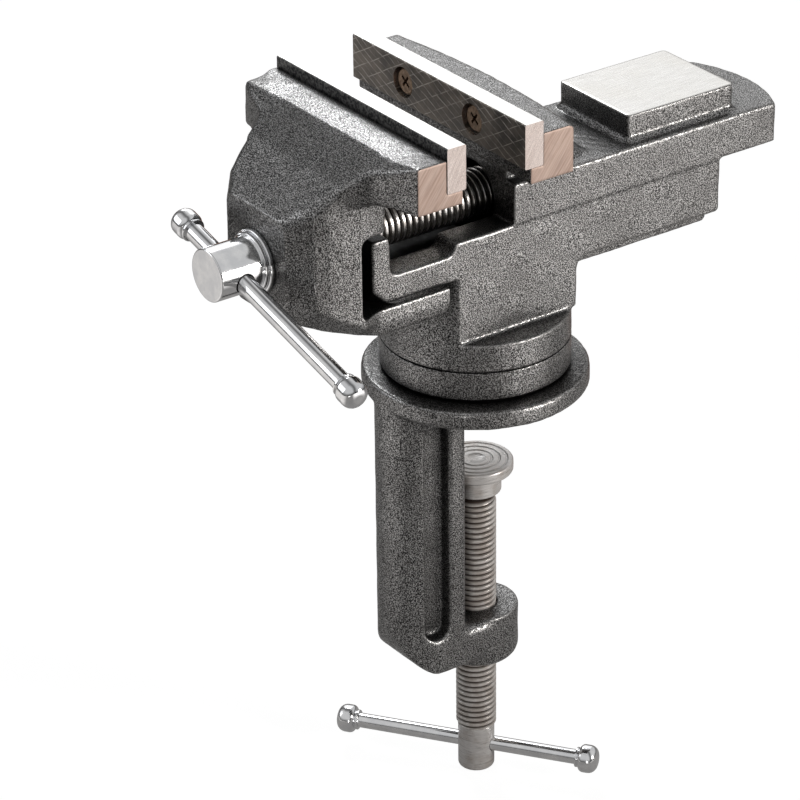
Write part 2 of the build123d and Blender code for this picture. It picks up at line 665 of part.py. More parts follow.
def nose_section(y, top_half, top, corner, half, ridge, sole_half, sole):
    """One six-cornered cross-section of the casting's nose, square to the lead screw."""
    corners = [
        (-top_half, top, corner), (-half, ridge, RIDGE_ROUND), (-sole_half, sole, SOLE_ROUND),
        (sole_half, sole, SOLE_ROUND), (half, ridge, RIDGE_ROUND), (top_half, top, corner),
    ]
    plane = Plane(origin=(0, y, 0), x_dir=(1, 0, 0), z_dir=(0, -1, 0))
    return plane * rounded_face(corners)


def casting_nose():
    """The casting's body from its front face back over the bed, ending in the two lips."""
    nose = loft([nose_section(*numbers) for numbers in NOSE_SECTIONS], ruled=True)
    skirt = extrude(nose_section(*NOSE_SECTIONS[-1]), CASTING_BACK - LIP_END)
    sole = NOSE_SECTIONS[-1][-1]
    outline = side_prism([
        (CASTING_BACK, LIP_TOP, 0), (LIP_END, LIP_TOP, 0), (LIP_END, sole, LIP_END_ROUND),
        (CASTING_BACK, sole, 0),
    ], CASTING_HALF)
    return nose + (skirt & outline)


def casting_wings():
    """The front jaw with its wings and the gussets that blend them into the nose."""
    jaw = block(-JAW_HALF, JAW_HALF, FRONT_JAW_FRONT, FRONT_LEDGE_FACE, FRONT_JAW_BOTTOM, FRONT_JAW_TOP)
    front_top = jaw.edges().filter_by(Axis.X).sort_by(Axis.Z)[-2:].sort_by(Axis.Y)[0]
    jaw = fillet(front_top, WING_EDGE_ROUND)
    root_x, root_y = WING_ROOT
    bend_x, bend_y = WING_BEND
    inside = FRONT_JAW_FRONT + WING_EDGE_ROUND
    gusset = plan_prism([
        (-JAW_HALF, FRONT_JAW_FRONT, 0), (-bend_x, bend_y, WING_BEND_ROUND), (-root_x, root_y, 0),
        (root_x, root_y, 0), (bend_x, bend_y, WING_BEND_ROUND), (JAW_HALF, FRONT_JAW_FRONT, 0),
        (JAW_HALF, inside, 0), (-JAW_HALF, inside, 0),
    ], FRONT_JAW_BOTTOM, FRONT_JAW_TOP)
    slope = side_prism([
        (inside, FRONT_JAW_TOP, 0), (FRONT_JAW_FRONT, FRONT_JAW_TOP - GAP, 0), (bend_y, WING_BEND_TOP, 0),
        (root_y, WING_ROOT_TOP, 0), (root_y, FRONT_JAW_BOTTOM, 0), (inside, FRONT_JAW_BOTTOM, 0),
    ], JAW_HALF)
    return jaw + (gusset & slope)


def casting_cavity():
    """The hollow that takes the bed's front end, open to the back."""
    back = CASTING_BACK + 2 * OVER
    outline = side_prism([
        (CAVITY_FRONT, CAVITY_TOP, CAVITY_TOP_ROUND), (back, CAVITY_TOP, 0), (back, LIP_TOP, 0),
        (CAVITY_FRONT, LIP_TOP, CAVITY_LOW_ROUND),
    ], CAVITY_HALF)
    plan = plan_prism([
        (-CAVITY_HALF, CAVITY_FRONT, CAVITY_PLAN_ROUND), (CAVITY_HALF, CAVITY_FRONT, CAVITY_PLAN_ROUND),
        (CAVITY_HALF, back, 0), (-CAVITY_HALF, back, 0),
    ], LIP_TOP, CAVITY_TOP)
    return without_low_corners(outline & plan, CAVITY_HALF, CAVITY_FRONT, LIP_TOP, CAVITY_CORNER_CUT)


def make_movable_jaw():
    """Front casting: nose, wings, lips and the hollow that takes the bed's front end."""
    casting = casting_nose() + casting_wings() - casting_cavity()
    back = CASTING_BACK + 2 * OVER
    casting -= side_prism([
        (WINDOW_FRONT, CAVITY_TOP, WINDOW_ROUND), (back, CAVITY_TOP, 0), (back, LIP_TOP, 0),
        (WINDOW_FRONT, LIP_TOP, WINDOW_ROUND),
    ], CASTING_HALF + OVER)
    sole = NOSE_SECTIONS[-1][-1]
    low = sole - OVER
    high = LIP_TOP + OVER
    between = block(-CAVITY_HALF, CAVITY_HALF, CASTING_BACK - OVER, LIP_END + OVER, low, high)
    casting -= between & upright(FLOOR_ARC_R, low, high, y=FLOOR_ARC_Y)

    seat_back = FRONT_PLATE_FACE - PLATE_THICK
    casting -= block(-JAW_HALF, JAW_HALF, seat_back, FRONT_LEDGE_FACE + OVER, PLATE_BOTTOM, PLATE_TOP)
    casting -= along_y(LEAD_JOURNAL_R + RUN, NOSE_FRONT - OVER, CAVITY_FRONT + OVER)
    casting -= block(-TONGUE_HALF - FIT, TONGUE_HALF + FIT, TONGUE_FRONT - FIT, CAVITY_FRONT + OVER,
                     GUIDE_BOTTOM - FIT, GUIDE_TOP + FIT)
    for x in (-GUIDE_PIN_X, GUIDE_PIN_X):
        casting -= upright(GUIDE_PIN_R, sole, GUIDE_PIN_HIGH, x, GUIDE_PIN_Y)
    for x in (-JAW_SCREW_X, JAW_SCREW_X):
        end = FRONT_PLATE_FACE - JAW_SCREW_HOLE
        casting -= along_y(JAW_SCREW_R + RUN, end, FRONT_LEDGE_FACE, x, JAW_SCREW_Z)
    return casting


def make_guide_bar():
    """Flat bar that rides in the bed's T-slot, with the tongue that the casting holds."""
    bar = block(-GUIDE_HALF, GUIDE_HALF, GUIDE_FRONT, GUIDE_BACK, GUIDE_BOTTOM, GUIDE_TOP)
    bar += block(-TONGUE_HALF, TONGUE_HALF, TONGUE_FRONT, GUIDE_FRONT, GUIDE_BOTTOM, GUIDE_TOP)
    for x in (-GUIDE_PIN_X, GUIDE_PIN_X):
        bar -= upright(GUIDE_PIN_R, GUIDE_BOTTOM - OVER, GUIDE_TOP + OVER, x, GUIDE_PIN_Y)
    return bar


def make_guide_bar_pins():
    """Two pins through the casting and the guide bar."""
    pins = []
    for x in (-GUIDE_PIN_X, GUIDE_PIN_X):
        pins.append(upright(GUIDE_PIN_R - FIT, GUIDE_PIN_LOW, GUIDE_PIN_HIGH, x, GUIDE_PIN_Y))
    return pins


# ---- lead screw ---------------------------------------------------------------------------------

def lead_bar_place():
    """Where the lead screw's bar lies: through the head, its near end low."""
    return Pos(0, LEAD_BAR_Y, LEAD_Z) * Rot(0, LEAD_BAR_DROP, 0)


def collar_pin_hole():
    """The hole through collar and journal for the collar's pin."""
    return upright(GUIDE_PIN_R, LEAD_Z - COLLAR_R - OVER, LEAD_Z + COLLAR_R + OVER, y=COLLAR_PIN_Y)


def make_lead_screw():
    """Cross-drilled head, shoulder, journal and thread in one spindle."""
    head = along_y(LEAD_HEAD_R, LEAD_HEAD_FACE, WASHER_FACE)
    head = fillet(rings_at(head, Axis.Y, LEAD_HEAD_FACE), LEAD_HEAD_ROUND)
    shoulder = along_y(LEAD_SHOULDER_R, SHOULDER_FACE, WASHER_FACE)
    shoulder = fillet(shoulder.edges().filter_by(GeomType.CIRCLE), LEAD_RING_ROUND)
    journal = along_y(LEAD_JOURNAL_R, SHOULDER_FACE, LEAD_THREAD_START)
    profile = thread_profile(LEAD_MAJOR_R, LEAD_PITCH, LEAD_THREAD_START, LEAD_THREAD_END)
    thread = turned(profile, Plane(origin=(0, 0, LEAD_Z), x_dir=(1, 0, 0), z_dir=(0, 0, 1)))
    screw = head + shoulder + journal + thread
    reach = LEAD_SHOULDER_R + OVER
    screw -= lead_bar_place() * along_x(LEAD_BAR_R + RUN, -reach, reach)
    return screw - collar_pin_hole()


def make_lead_washer():
    """Polished ring between the screw's shoulder and the casting."""
    ring = along_y(LEAD_WASHER_R, WASHER_FACE, NOSE_FRONT)
    ring = fillet(ring.edges().filter_by(GeomType.CIRCLE), LEAD_RING_ROUND)
    return ring - along_y(LEAD_JOURNAL_R + EASY, WASHER_FACE - OVER, NOSE_FRONT + OVER)


def make_lead_collar():
    """Ring pinned on the journal behind the casting's front wall."""
    ring = along_y(COLLAR_R, COLLAR_FRONT, COLLAR_BACK)
    ring = chamfer(ring.edges().filter_by(GeomType.CIRCLE), COLLAR_EDGE)
    ring -= along_y(LEAD_JOURNAL_R + FIT, COLLAR_FRONT - OVER, COLLAR_BACK + OVER)
    return ring - collar_pin_hole()


def make_lead_collar_pin():
    """Pin through the collar and the journal."""
    low = LEAD_Z - COLLAR_PIN_HALF
    high = LEAD_Z + COLLAR_PIN_HALF
    return upright(GUIDE_PIN_R - FIT, low, high, y=COLLAR_PIN_Y)


def make_lead_bar():
    """The lead screw's bar and its two rounded ends."""
    rod, ends = bar_with_ends(LEAD_BAR_LENGTH, LEAD_BAR_R, LEAD_END_R, LEAD_END_LENGTH)
    place = lead_bar_place() * Pos(LEAD_BAR_OFFSET, 0, 0)
    return place * rod, [place * end for end in ends]


# ---- write one file per piece -------------------------------------------------------------------

def save(name, shape):
    """Write one piece, or a group of like pieces, under its own name."""
    if isinstance(shape, list):
        shape = Compound(children=shape)
    shape.label = name
    export_step(shape, f"parts/{name}.step")


def main():
    os.makedirs("parts", exist_ok=True)
    save("clamp_frame", make_clamp_frame())
    save("swivel_ring", make_swivel_ring())
    save("pivot_bolt", make_pivot_bolt())
    save("pivot_washer", make_pivot_washer())
    save("clamp_pad", make_clamp_pad())
    save("clamp_screw", make_clamp_screw())
    rod, ends = make_clamp_bar()
    save("clamp_tbar", rod)
    save("clamp_tbar_ends", ends)

    save("fixed_body", make_fixed_body())
    save("lead_nut", make_lead_nut())
    save("lead_nut_screw", make_lead_nut_screw())
    save("swivel_lock_screw", make_lock_screw())
    save("swivel_lock_bar", make_lock_bar())
    save("rear_jaw_plate", jaw_plate(REAR_PLATE_FACE, 1))
    save("rear_jaw_screws", jaw_screws(REAR_PLATE_FACE, 1))

    save("movable_jaw", make_movable_jaw())
    save("front_jaw_plate", jaw_plate(FRONT_PLATE_FACE, -1))
    save("front_jaw_screws", jaw_screws(FRONT_PLATE_FACE, -1))
    save("guide_bar", make_guide_bar())
    save("guide_bar_pins", make_guide_bar_pins())
    save("lead_washer", make_lead_washer())
    save("lead_screw", make_lead_screw())
    save("lead_collar", make_lead_collar())
    save("lead_collar_pin", make_lead_collar_pin())
    rod, ends = make_lead_bar()
    save("lead_tbar", rod)
    save("lead_tbar_ends", ends)


main()
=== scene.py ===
import math

import bmesh
import bpy
import numpy as np
from mathutils import Matrix, Quaternion, Vector


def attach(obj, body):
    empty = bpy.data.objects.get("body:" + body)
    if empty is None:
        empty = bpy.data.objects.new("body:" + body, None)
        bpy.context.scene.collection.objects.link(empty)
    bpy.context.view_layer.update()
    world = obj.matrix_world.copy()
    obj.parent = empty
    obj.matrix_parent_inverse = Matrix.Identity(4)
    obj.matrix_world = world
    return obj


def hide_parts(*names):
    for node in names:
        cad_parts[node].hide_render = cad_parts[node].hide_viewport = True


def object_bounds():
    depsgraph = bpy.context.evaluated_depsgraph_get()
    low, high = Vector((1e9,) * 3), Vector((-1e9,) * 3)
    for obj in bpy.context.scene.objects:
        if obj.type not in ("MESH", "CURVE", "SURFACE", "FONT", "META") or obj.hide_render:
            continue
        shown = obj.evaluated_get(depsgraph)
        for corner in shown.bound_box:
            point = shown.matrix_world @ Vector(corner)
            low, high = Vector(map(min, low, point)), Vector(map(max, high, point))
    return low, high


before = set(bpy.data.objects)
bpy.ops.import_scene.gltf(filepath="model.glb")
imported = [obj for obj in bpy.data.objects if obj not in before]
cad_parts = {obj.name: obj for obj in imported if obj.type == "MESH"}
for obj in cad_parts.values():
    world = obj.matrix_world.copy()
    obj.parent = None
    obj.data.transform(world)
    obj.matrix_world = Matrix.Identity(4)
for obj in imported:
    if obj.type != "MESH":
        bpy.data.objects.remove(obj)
CAD_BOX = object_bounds()

# Lengths below are millimetres in the part's own frame, unless a name ends in _M.
MM = 0.001

# ---- sizes repeated from the part ------------------------------------------------------------------

TURRET_R = 27.4
FLANGE_TOP = 6.0
RING_TOP = 15.5
SPIGOT_R = 14.05

LEAD_Z = 58.8
LEAD_PITCH = 2.0
LEAD_MAJOR_R = 7.0
LEAD_THREAD_DEPTH = 1.1
LEAD_RUN_OUT = 1.6
LEAD_HEAD_R = 7.56
LEAD_HEAD_FACE = -89.6
LEAD_SHOULDER_R = 8.5
LEAD_SHOULDER_FACE = -76.2
LEAD_WASHER_R = 9.2
LEAD_WASHER_FACE = -75.0
WASHER_CLEARANCE = 0.03  # keeps the ring off the head that turns against it
LEAD_JOURNAL_R = 7.1
NOSE_FRONT = -73.6
LEAD_THREAD_START = -61.5
LEAD_THREAD_END = 50.0
LEAD_BAR_Y = -82.0
LEAD_BAR_R = 2.7
LEAD_BAR_LENGTH = 80.4
LEAD_BAR_OFFSET = 18.0
LEAD_BAR_DROP = 14.0
LEAD_END_R = 4.0
LEAD_END_LENGTH = 6.6

CLAMP_PITCH = 1.75
CLAMP_MAJOR_R = 6.0
CLAMP_THREAD_DEPTH = 0.95
CLAMP_RUN_OUT = 1.2
CLAMP_THREAD_TOP = -38.0
CLAMP_THREAD_END = -116.4
CLAMP_BARREL_R = 5.45
CLAMP_BARREL_END = -130.6
CLAMP_BAR_Z = -122.7
CLAMP_BAR_R = 2.25
CLAMP_BAR_LENGTH = 75.7
CLAMP_BAR_OFFSET = -2.9
CLAMP_BAR_TURN = 35.8
CLAMP_END_R = 4.25
CLAMP_END_LENGTH = 6.0
BALL_R = 4.2
BALL_Z = -32.0
BALL_STEPS = 17
BALL_STEP_DEG = 8.2
NECK_R = 3.1
PAD_R = 11.0
PAD_TOP = -26.0
PAD_BOTTOM = -36.0
PAD_CUP_R = 7.5
PAD_PLATE = 3.5
PAD_RING_DEPTH = 0.25

LOCK_Z = 19.4
LOCK_R = 2.5
LOCK_TIP = -14.15
LOCK_HEAD_R = 4.4
LOCK_HEAD_START = -28.6
LOCK_HEAD_END = -40.6
LOCK_BAR_X = -37.2
LOCK_BAR_R = 1.6
LOCK_BAR_LENGTH = 30.0
LOCK_BAR_TILT = 28.0
LOCK_END_R = 2.4

JAW_HALF = 40.0
JAW_UNDER = 70.0
SEAT_SPAN = (81.5, 82.5)
ANVIL_TOP = 76.2
ANVIL_FRONT = 35.0

# Levels along Y between which the jaw plates' gripping faces and backs are told apart.
FRONT_FACE_SPAN_M = (-0.0336, -0.0330)
FRONT_BACK_SPAN_M = (-0.0380, -0.0384)
REAR_FACE_SPAN_M = (-0.0110, -0.0120)
REAR_BACK_SPAN_M = (-0.0080, -0.0072)

# ---- how finely pieces are made --------------------------------------------------------------------

SEGMENTS = 96
RING_SEGMENTS = 192
BAR_SEGMENTS = 48
CUTTER_SEGMENTS = 64
RING_STEP = 0.6
ARC_STEPS = 7
SUPPORT = 0.05
ON_AXIS = 1e-6
THREAD_ROWS_PER_TURN = 20
SHARP_DEG = 32.0
THREAD_SHARP_DEG = 60.0


# ---- node trees ------------------------------------------------------------------------------------

class Graph:
    """The node tree of a material or world, with short calls for the nodes used here.

    A material's coordinates are metres in the part's frame, so a noise's scale counts per metre.
    """

    def __init__(self, owner):
        owner.use_nodes = True
        self.owner = owner
        self.tree = owner.node_tree
        self.tree.nodes.clear()
        coordinates = self.tree.nodes.new("ShaderNodeTexCoord")
        self.place = coordinates.outputs["Object"]
        self.normal = coordinates.outputs["Normal"]
        self.ray = coordinates.outputs["Generated"]

    def put(self, socket, value):
        if isinstance(value, bpy.types.NodeSocket):
            self.tree.links.new(value, socket)
        elif value is not None:
            socket.default_value = value

    def math(self, operation, a, b=None):
        n = self.tree.nodes.new("ShaderNodeMath")
        n.operation = operation
        self.put(n.inputs[0], a)
        self.put(n.inputs[1], b)
        return n.outputs[0]

    def vector(self, operation, a, b):
        n = self.tree.nodes.new("ShaderNodeVectorMath")
        n.operation = operation
        self.put(n.inputs[0], a)
        self.put(n.inputs[1], b)
        return n.outputs["Value"] if operation == "DOT_PRODUCT" else n.outputs[0]

    def length(self, source):
        n = self.tree.nodes.new("ShaderNodeVectorMath")
        n.operation = "LENGTH"
        self.put(n.inputs[0], source)
        return n.outputs["Value"]

    def along(self, direction, source=None):
        """How far a point lies along a direction."""
        return self.vector("DOT_PRODUCT", source or self.place, direction)

    def stretched(self, factors):
        return self.vector("MULTIPLY", self.place, factors)

    def noise(self, scale, detail=2.0, roughness=0.5, place=None):
        n = self.tree.nodes.new("ShaderNodeTexNoise")
        self.put(n.inputs["Vector"], place or self.place)
        n.inputs["Scale"].default_value = scale
        n.inputs["Detail"].default_value = detail
        n.inputs["Roughness"].default_value = roughness
        return n.outputs[0]

    def cells(self, scale):
        n = self.tree.nodes.new("ShaderNodeTexVoronoi")
        self.put(n.inputs["Vector"], self.place)
        n.inputs["Scale"].default_value = scale
        return n.outputs["Distance"]

    def span(self, value, low, high, to_low=0.0, to_high=1.0, shape="SMOOTHSTEP"):
        """Maps low..high to to_low..to_high, clamped."""
        n = self.tree.nodes.new("ShaderNodeMapRange")
        n.interpolation_type = shape
        for socket, number in zip(n.inputs, (value, low, high, to_low, to_high)):
            self.put(socket, number)
        return n.outputs[0]

    def mix(self, factor, a, b):
        """Between two colours, which are the Mix node's inputs 6 and 7 and its output 2."""
        n = self.tree.nodes.new("ShaderNodeMix")
        n.data_type = "RGBA"
        self.put(n.inputs[0], factor)
        for number, color in ((6, a), (7, b)):
            self.put(n.inputs[number], color if isinstance(color, bpy.types.NodeSocket) else (*color, 1.0))
        return n.outputs[2]

    def blend(self, factor, a, b):
        """Between two numbers, which are the Mix node's inputs 2 and 3."""
        n = self.tree.nodes.new("ShaderNodeMix")
        self.put(n.inputs[0], factor)
        self.put(n.inputs[2], a)
        self.put(n.inputs[3], b)
        return n.outputs[0]

    def openness(self, reach_m):
        """1 in the open and lower in corners and narrow gaps."""
        n = self.tree.nodes.new("ShaderNodeAmbientOcclusion")
        n.samples = 4
        n.inputs["Distance"].default_value = reach_m
        return n.outputs["AO"]

    def attribute(self, name):
        n = self.tree.nodes.new("ShaderNodeAttribute")
        n.attribute_name = name
        return n.outputs["Fac"]

    def lines(self, direction, spacing_m, width, place):
        """Fine lines square to a direction: 1 on a line and 0 between."""
        rise = self.math("PINGPONG", self.math("DIVIDE", self.along(direction, place), spacing_m), 0.5)
        return self.span(rise, 0.0, width, 1.0, 0.0)

    def bump(self, height, strength, distance_m):
        n = self.tree.nodes.new("ShaderNodeBump")
        n.inputs["Strength"].default_value = strength
        n.inputs["Distance"].default_value = distance_m
        self.put(n.inputs["Height"], height)
        return n.outputs["Normal"]

    def combined(self, x=None, y=None, z=None):
        n = self.tree.nodes.new("ShaderNodeCombineXYZ")
        for socket, part in zip(n.inputs, (x, y, z)):
            self.put(socket, part)
        return n.outputs[0]

    def separated(self, source):
        n = self.tree.nodes.new("ShaderNodeSeparateXYZ")
        self.put(n.inputs[0], source)
        return n.outputs

    def finish(self, color, roughness, normal, metallic):
        n = self.tree.nodes.new("ShaderNodeBsdfPrincipled")
        self.put(n.inputs["Base Color"], color)
        self.put(n.inputs["Roughness"], roughness)
        self.put(n.inputs["Metallic"], metallic)
        self.put(n.inputs["Normal"], normal)
        self.show(n.outputs[0], "ShaderNodeOutputMaterial")
        return self.owner

    def show(self, shader, kind):
        out = self.tree.nodes.new(kind)
        self.tree.links.new(shader, out.inputs["Surface"])


def material_graph(name):
    return Graph(bpy.data.materials.new(name))


# ---- materials -------------------------------------------------------------------------------------

def paint_material():
    """Dark grey hammered paint: fine speckle over soft pits, painted shade in corners, and edges paler from
    rubbed wear and a painted highlight.
    """
    dark, pale = (0.014, 0.014, 0.015), (0.25, 0.246, 0.242)
    black_fleck, bright_fleck = (0.008, 0.008, 0.008), (0.66, 0.655, 0.65)
    # bare is the pale of rubbed edges and of their painted highlight; shade is painted shade
    dust, bare, shade = (0.075, 0.069, 0.067), (0.50, 0.495, 0.485), (0.006, 0.006, 0.006)
    g = material_graph("hammered_paint")
    grain = g.noise(2300, 2.0, 0.7)
    fleck = g.noise(3300, 1.0, 0.5)
    pits = g.cells(1500)
    broad = g.noise(70, 3.0, 0.6)
    color = g.mix(g.span(grain, 0.41, 0.59), dark, pale)
    color = g.mix(g.span(fleck, 0.52, 0.62, 0.0, 0.90), color, bright_fleck)
    color = g.mix(g.span(fleck, 0.48, 0.38, 0.0, 0.90), color, black_fleck)
    color = g.mix(g.span(broad, 0.30, 0.75, 0.0, 0.25), color, dust)
    # paler proud edges: rubbed wear together with a painted highlight
    edge_wear_and_highlight = g.math("MULTIPLY", g.attribute("edge_wear_and_highlight"), g.span(grain, 0.3, 0.6, 0.08, 0.50))
    color = g.mix(edge_wear_and_highlight, color, bare)
    # painted shade in corners and narrow gaps, driven by the occlusion node
    color = g.mix(g.span(g.openness(0.026), 0.36, 0.95, 0.98, 0.0), color, shade)
    height = g.math("ADD", grain, g.math("MULTIPLY", pits, 0.5))
    rough = g.span(fleck, 0.30, 0.70, 0.42, 0.30)
    return g.finish(color, rough, g.bump(height, 0.5, 0.00008), 0.75)


MILLED_STRETCH = 26  # how many times longer than wide a cutter's streak is


def milled_marks(g, direction, scale):
    """Streaks of a cutter, drawn out square to a direction that lies in the YZ plane."""
    _, y, z = direction
    across = g.math("MULTIPLY", g.along(direction), scale)
    along = g.math("MULTIPLY", g.along((0.0, -z, y)), scale / MILLED_STRETCH)
    return g.noise(1.0, 3.0, 0.6, g.combined(across, along))


def milled_material():
    """Bare milled iron on the ends of both jaws, with slanting cutter marks."""
    slant = (0.0, -0.80, 0.60)
    dark, pale = (0.30, 0.205, 0.165), (0.52, 0.385, 0.320)
    bright, brown = (0.58, 0.46, 0.40), (0.33, 0.24, 0.20)
    g = material_graph("milled_iron")
    marks = milled_marks(g, slant, 2600)
    wide = milled_marks(g, slant, 700)
    blotch = g.noise(160, 3.0)
    color = g.mix(g.span(marks, 0.32, 0.68), dark, pale)
    color = g.mix(g.span(wide, 0.35, 0.75, 0.0, 0.6), color, bright)
    color = g.mix(g.span(blotch, 0.45, 0.75, 0.0, 0.3), color, brown)
    return g.finish(color, g.span(marks, 0.3, 0.7, 0.42, 0.62), g.bump(marks, 0.35, 0.00006),
                    metallic=0.35)


def ground_material():
    """Ground steel of the anvil: long fine scratches and a few faint blotches."""
    dark, pale, dull = (0.60, 0.59, 0.57), (0.80, 0.79, 0.77), (0.66, 0.64, 0.60)
    g = material_graph("ground_anvil")
    scratch = g.noise(1.0, 4.0, 0.65, g.stretched((5200.0, 150.0, 5200.0)))
    cross = g.noise(1.0, 3.0, 0.6, g.stretched((240.0, 3800.0, 240.0)))
    blotch = g.noise(75, 4.0, 0.6)
    color = g.mix(g.span(scratch, 0.30, 0.70), dark, pale)
    color = g.mix(g.span(blotch, 0.40, 0.72, 0.0, 0.45), color, dull)
    rough = g.span(cross, 0.3, 0.7, 0.22, 0.32)
    return g.finish(color, rough, g.bump(scratch, 0.25, 0.00003), metallic=0.85)


def scored_lines(g, depth):
    """Two sets of crossing lines, a little wavy and fading in patches."""
    wander = g.math("MULTIPLY", g.noise(120, 2.0), 0.0012)
    place = g.vector("ADD", g.place, g.combined(x=wander, z=wander))
    patchy = g.noise(230, 3.0, 0.6)
    down = g.lines((0.42, 0.0, 0.91), 0.0021, 0.075, place)
    up = g.lines((0.50, 0.0, -0.87), 0.0038, 0.045, place)
    down = g.math("MULTIPLY", down, g.span(patchy, 0.38, 0.62, 0.15, 1.0))
    up = g.math("MULTIPLY", up, g.span(patchy, 0.62, 0.42, 0.10, 0.8))
    return g.math("MULTIPLY", g.math("MAXIMUM", down, up), g.span(depth, *FRONT_FACE_SPAN_M))


def jaw_plate_material():
    """Jaw plate: ground top, milled ends, a dark face with scored diamonds, and a speckled back."""
    top_dark, top_pale = (0.74, 0.73, 0.71), (0.93, 0.92, 0.90)
    end_dark, end_pale = (0.47, 0.395, 0.365), (0.66, 0.58, 0.545)
    face_dark, face_pale, line = (0.105, 0.096, 0.088), (0.290, 0.256, 0.222), (0.92, 0.86, 0.80)
    back_dark, back_pale = (0.022, 0.022, 0.023), (0.17, 0.168, 0.165)
    g = material_graph("jaw_plate_steel")
    scratch = g.noise(1.0, 4.0, 0.65, g.stretched((180.0, 5600.0, 5600.0)))
    top_color = g.mix(g.span(scratch, 0.30, 0.70), top_dark, top_pale)
    marks = milled_marks(g, (0.0, -0.88, 0.47), 2400)
    end_color = g.mix(g.span(marks, 0.30, 0.70), end_dark, end_pale)

    depth = g.along((0.0, 1.0, 0.0))
    scored = scored_lines(g, depth)
    stain = g.noise(95, 4.0, 0.6)
    face = g.mix(g.span(stain, 0.35, 0.70), face_dark, face_pale)
    face = g.mix(g.math("MULTIPLY", scored, 0.95), face, line)
    speckle = g.mix(g.span(g.noise(1300, 2.0, 0.7), 0.4, 0.6), back_dark, back_pale)
    back = g.math("MAXIMUM", g.span(depth, *FRONT_BACK_SPAN_M), g.span(depth, *REAR_BACK_SPAN_M))
    face = g.mix(back, face, speckle)
    scored = g.math("MULTIPLY", scored, g.span(depth, *REAR_FACE_SPAN_M))

    is_top = g.span(g.along((0.0, 0.0, 1.0), g.normal), 0.75, 0.95)
    is_end = g.span(g.math("ABSOLUTE", g.along((1.0, 0.0, 0.0), g.normal)), 0.75, 0.95)
    color = g.mix(is_end, g.mix(is_top, face, top_color), end_color)
    bright = g.math("MAXIMUM", is_top, is_end)
    metallic = g.blend(bright, 0.65, g.blend(is_end, 0.85, 0.45))
    rough = g.blend(bright, g.span(stain, 0.3, 0.7, 0.34, 0.50), g.span(scratch, 0.3, 0.7, 0.22, 0.32))
    height = g.blend(bright, g.math("MULTIPLY", scored, -1.0), g.math("MULTIPLY", scratch, 0.15))
    return g.finish(color, rough, g.bump(height, 0.6, 0.00010), metallic)


def browned_material():
    """Browned steel of the jaw screws."""
    dark, pale = (0.13, 0.085, 0.055), (0.42, 0.30, 0.21)
    g = material_graph("browned_screw")
    stain = g.noise(900, 4.0, 0.6)
    turned = g.noise(1.0, 2.0, 0.5, g.stretched((700.0, 6000.0, 700.0)))
    color = g.mix(g.span(stain, 0.32, 0.68), dark, pale)
    return g.finish(color, g.span(stain, 0.3, 0.7, 0.30, 0.50), g.bump(turned, 0.3, 0.00005),
                    metallic=0.8)


def chrome_material():
    """Polished steel: nearly a mirror, with hairlines and faint smears."""
    cool, pale = (0.70, 0.705, 0.72), (0.83, 0.83, 0.83)
    g = material_graph("polished_steel")
    hair = g.noise(1.0, 3.0, 0.6, g.stretched((900.0, 5200.0, 900.0)))
    smear = g.noise(210, 4.0, 0.6)
    color = g.mix(g.span(smear, 0.35, 0.70), cool, pale)
    rough = g.blend(g.span(hair, 0.35, 0.70), 0.09, g.span(smear, 0.4, 0.7, 0.12, 0.22))
    return g.finish(color, rough, g.bump(hair, 0.08, 0.00002), metallic=1.0)


def groove_share(g, radius, depth, axis_z=None):
    """1 at the bottom of a thread's groove and 0 on its crest.

    The thread stands on the swivel axis, or lies along Y at the height axis_z.
    """
    x, y, z = g.separated(g.place)
    other = y if axis_z is None else g.math("SUBTRACT", z, axis_z * MM)
    away = g.length(g.combined(x, other))
    return g.span(away, (radius - depth) * MM, (radius - 0.15 * depth) * MM, 1.0, 0.0)


def lead_thread_material():
    """Bright rolled thread, darkened in its grooves with painted shade."""
    dark, pale, groove_shade_color = (0.36, 0.335, 0.31), (0.62, 0.61, 0.60), (0.016, 0.013, 0.012)
    g = material_graph("lead_thread_steel")
    smear = g.noise(300, 4.0, 0.6)
    color = g.mix(g.span(smear, 0.35, 0.70), dark, pale)
    # painted shade at the bottom of the grooves
    groove_shade = groove_share(g, LEAD_MAJOR_R, LEAD_THREAD_DEPTH, LEAD_Z)
    color = g.mix(groove_shade, color, groove_shade_color)
    return g.finish(color, g.blend(groove_shade, 0.24, 0.55), g.bump(smear, 0.12, 0.00003), metallic=0.95)


def clamp_thread_material():
    """Bare thread of the clamp screw, with painted shade in its grooves, tinted brown for a painted warm
    reflection.
    """
    dark, pale, groove_shade_color = (0.56, 0.51, 0.47), (0.80, 0.77, 0.74), (0.050, 0.032, 0.024)
    g = material_graph("clamp_thread_steel")
    smear = g.noise(260, 4.0, 0.6)
    color = g.mix(g.span(smear, 0.35, 0.70), dark, pale)
    # painted shade in the grooves, tinted brown as a painted reflection
    groove_shade = groove_share(g, CLAMP_MAJOR_R, CLAMP_THREAD_DEPTH)
    color = g.mix(groove_shade, color, groove_shade_color)
    return g.finish(color, g.blend(groove_shade, 0.32, 0.55), g.bump(smear, 0.15, 0.00003), metallic=0.30)


def turned_material():
    """Bare turned steel with faint rings and brown stains."""
    dark, pale, brown = (0.58, 0.56, 0.545), (0.78, 0.76, 0.745), (0.36, 0.29, 0.235)
    g = material_graph("turned_steel")
    ring = g.noise(1.0, 3.0, 0.6, g.stretched((260.0, 260.0, 5200.0)))
    stain = g.noise(140, 4.0, 0.6)
    color = g.mix(g.span(ring, 0.30, 0.70), dark, pale)
    color = g.mix(g.span(stain, 0.45, 0.72, 0.0, 0.55), color, brown)
    rough = g.span(ring, 0.3, 0.7, 0.26, 0.40)
    return g.finish(color, rough, g.bump(ring, 0.25, 0.00004), metallic=0.35)


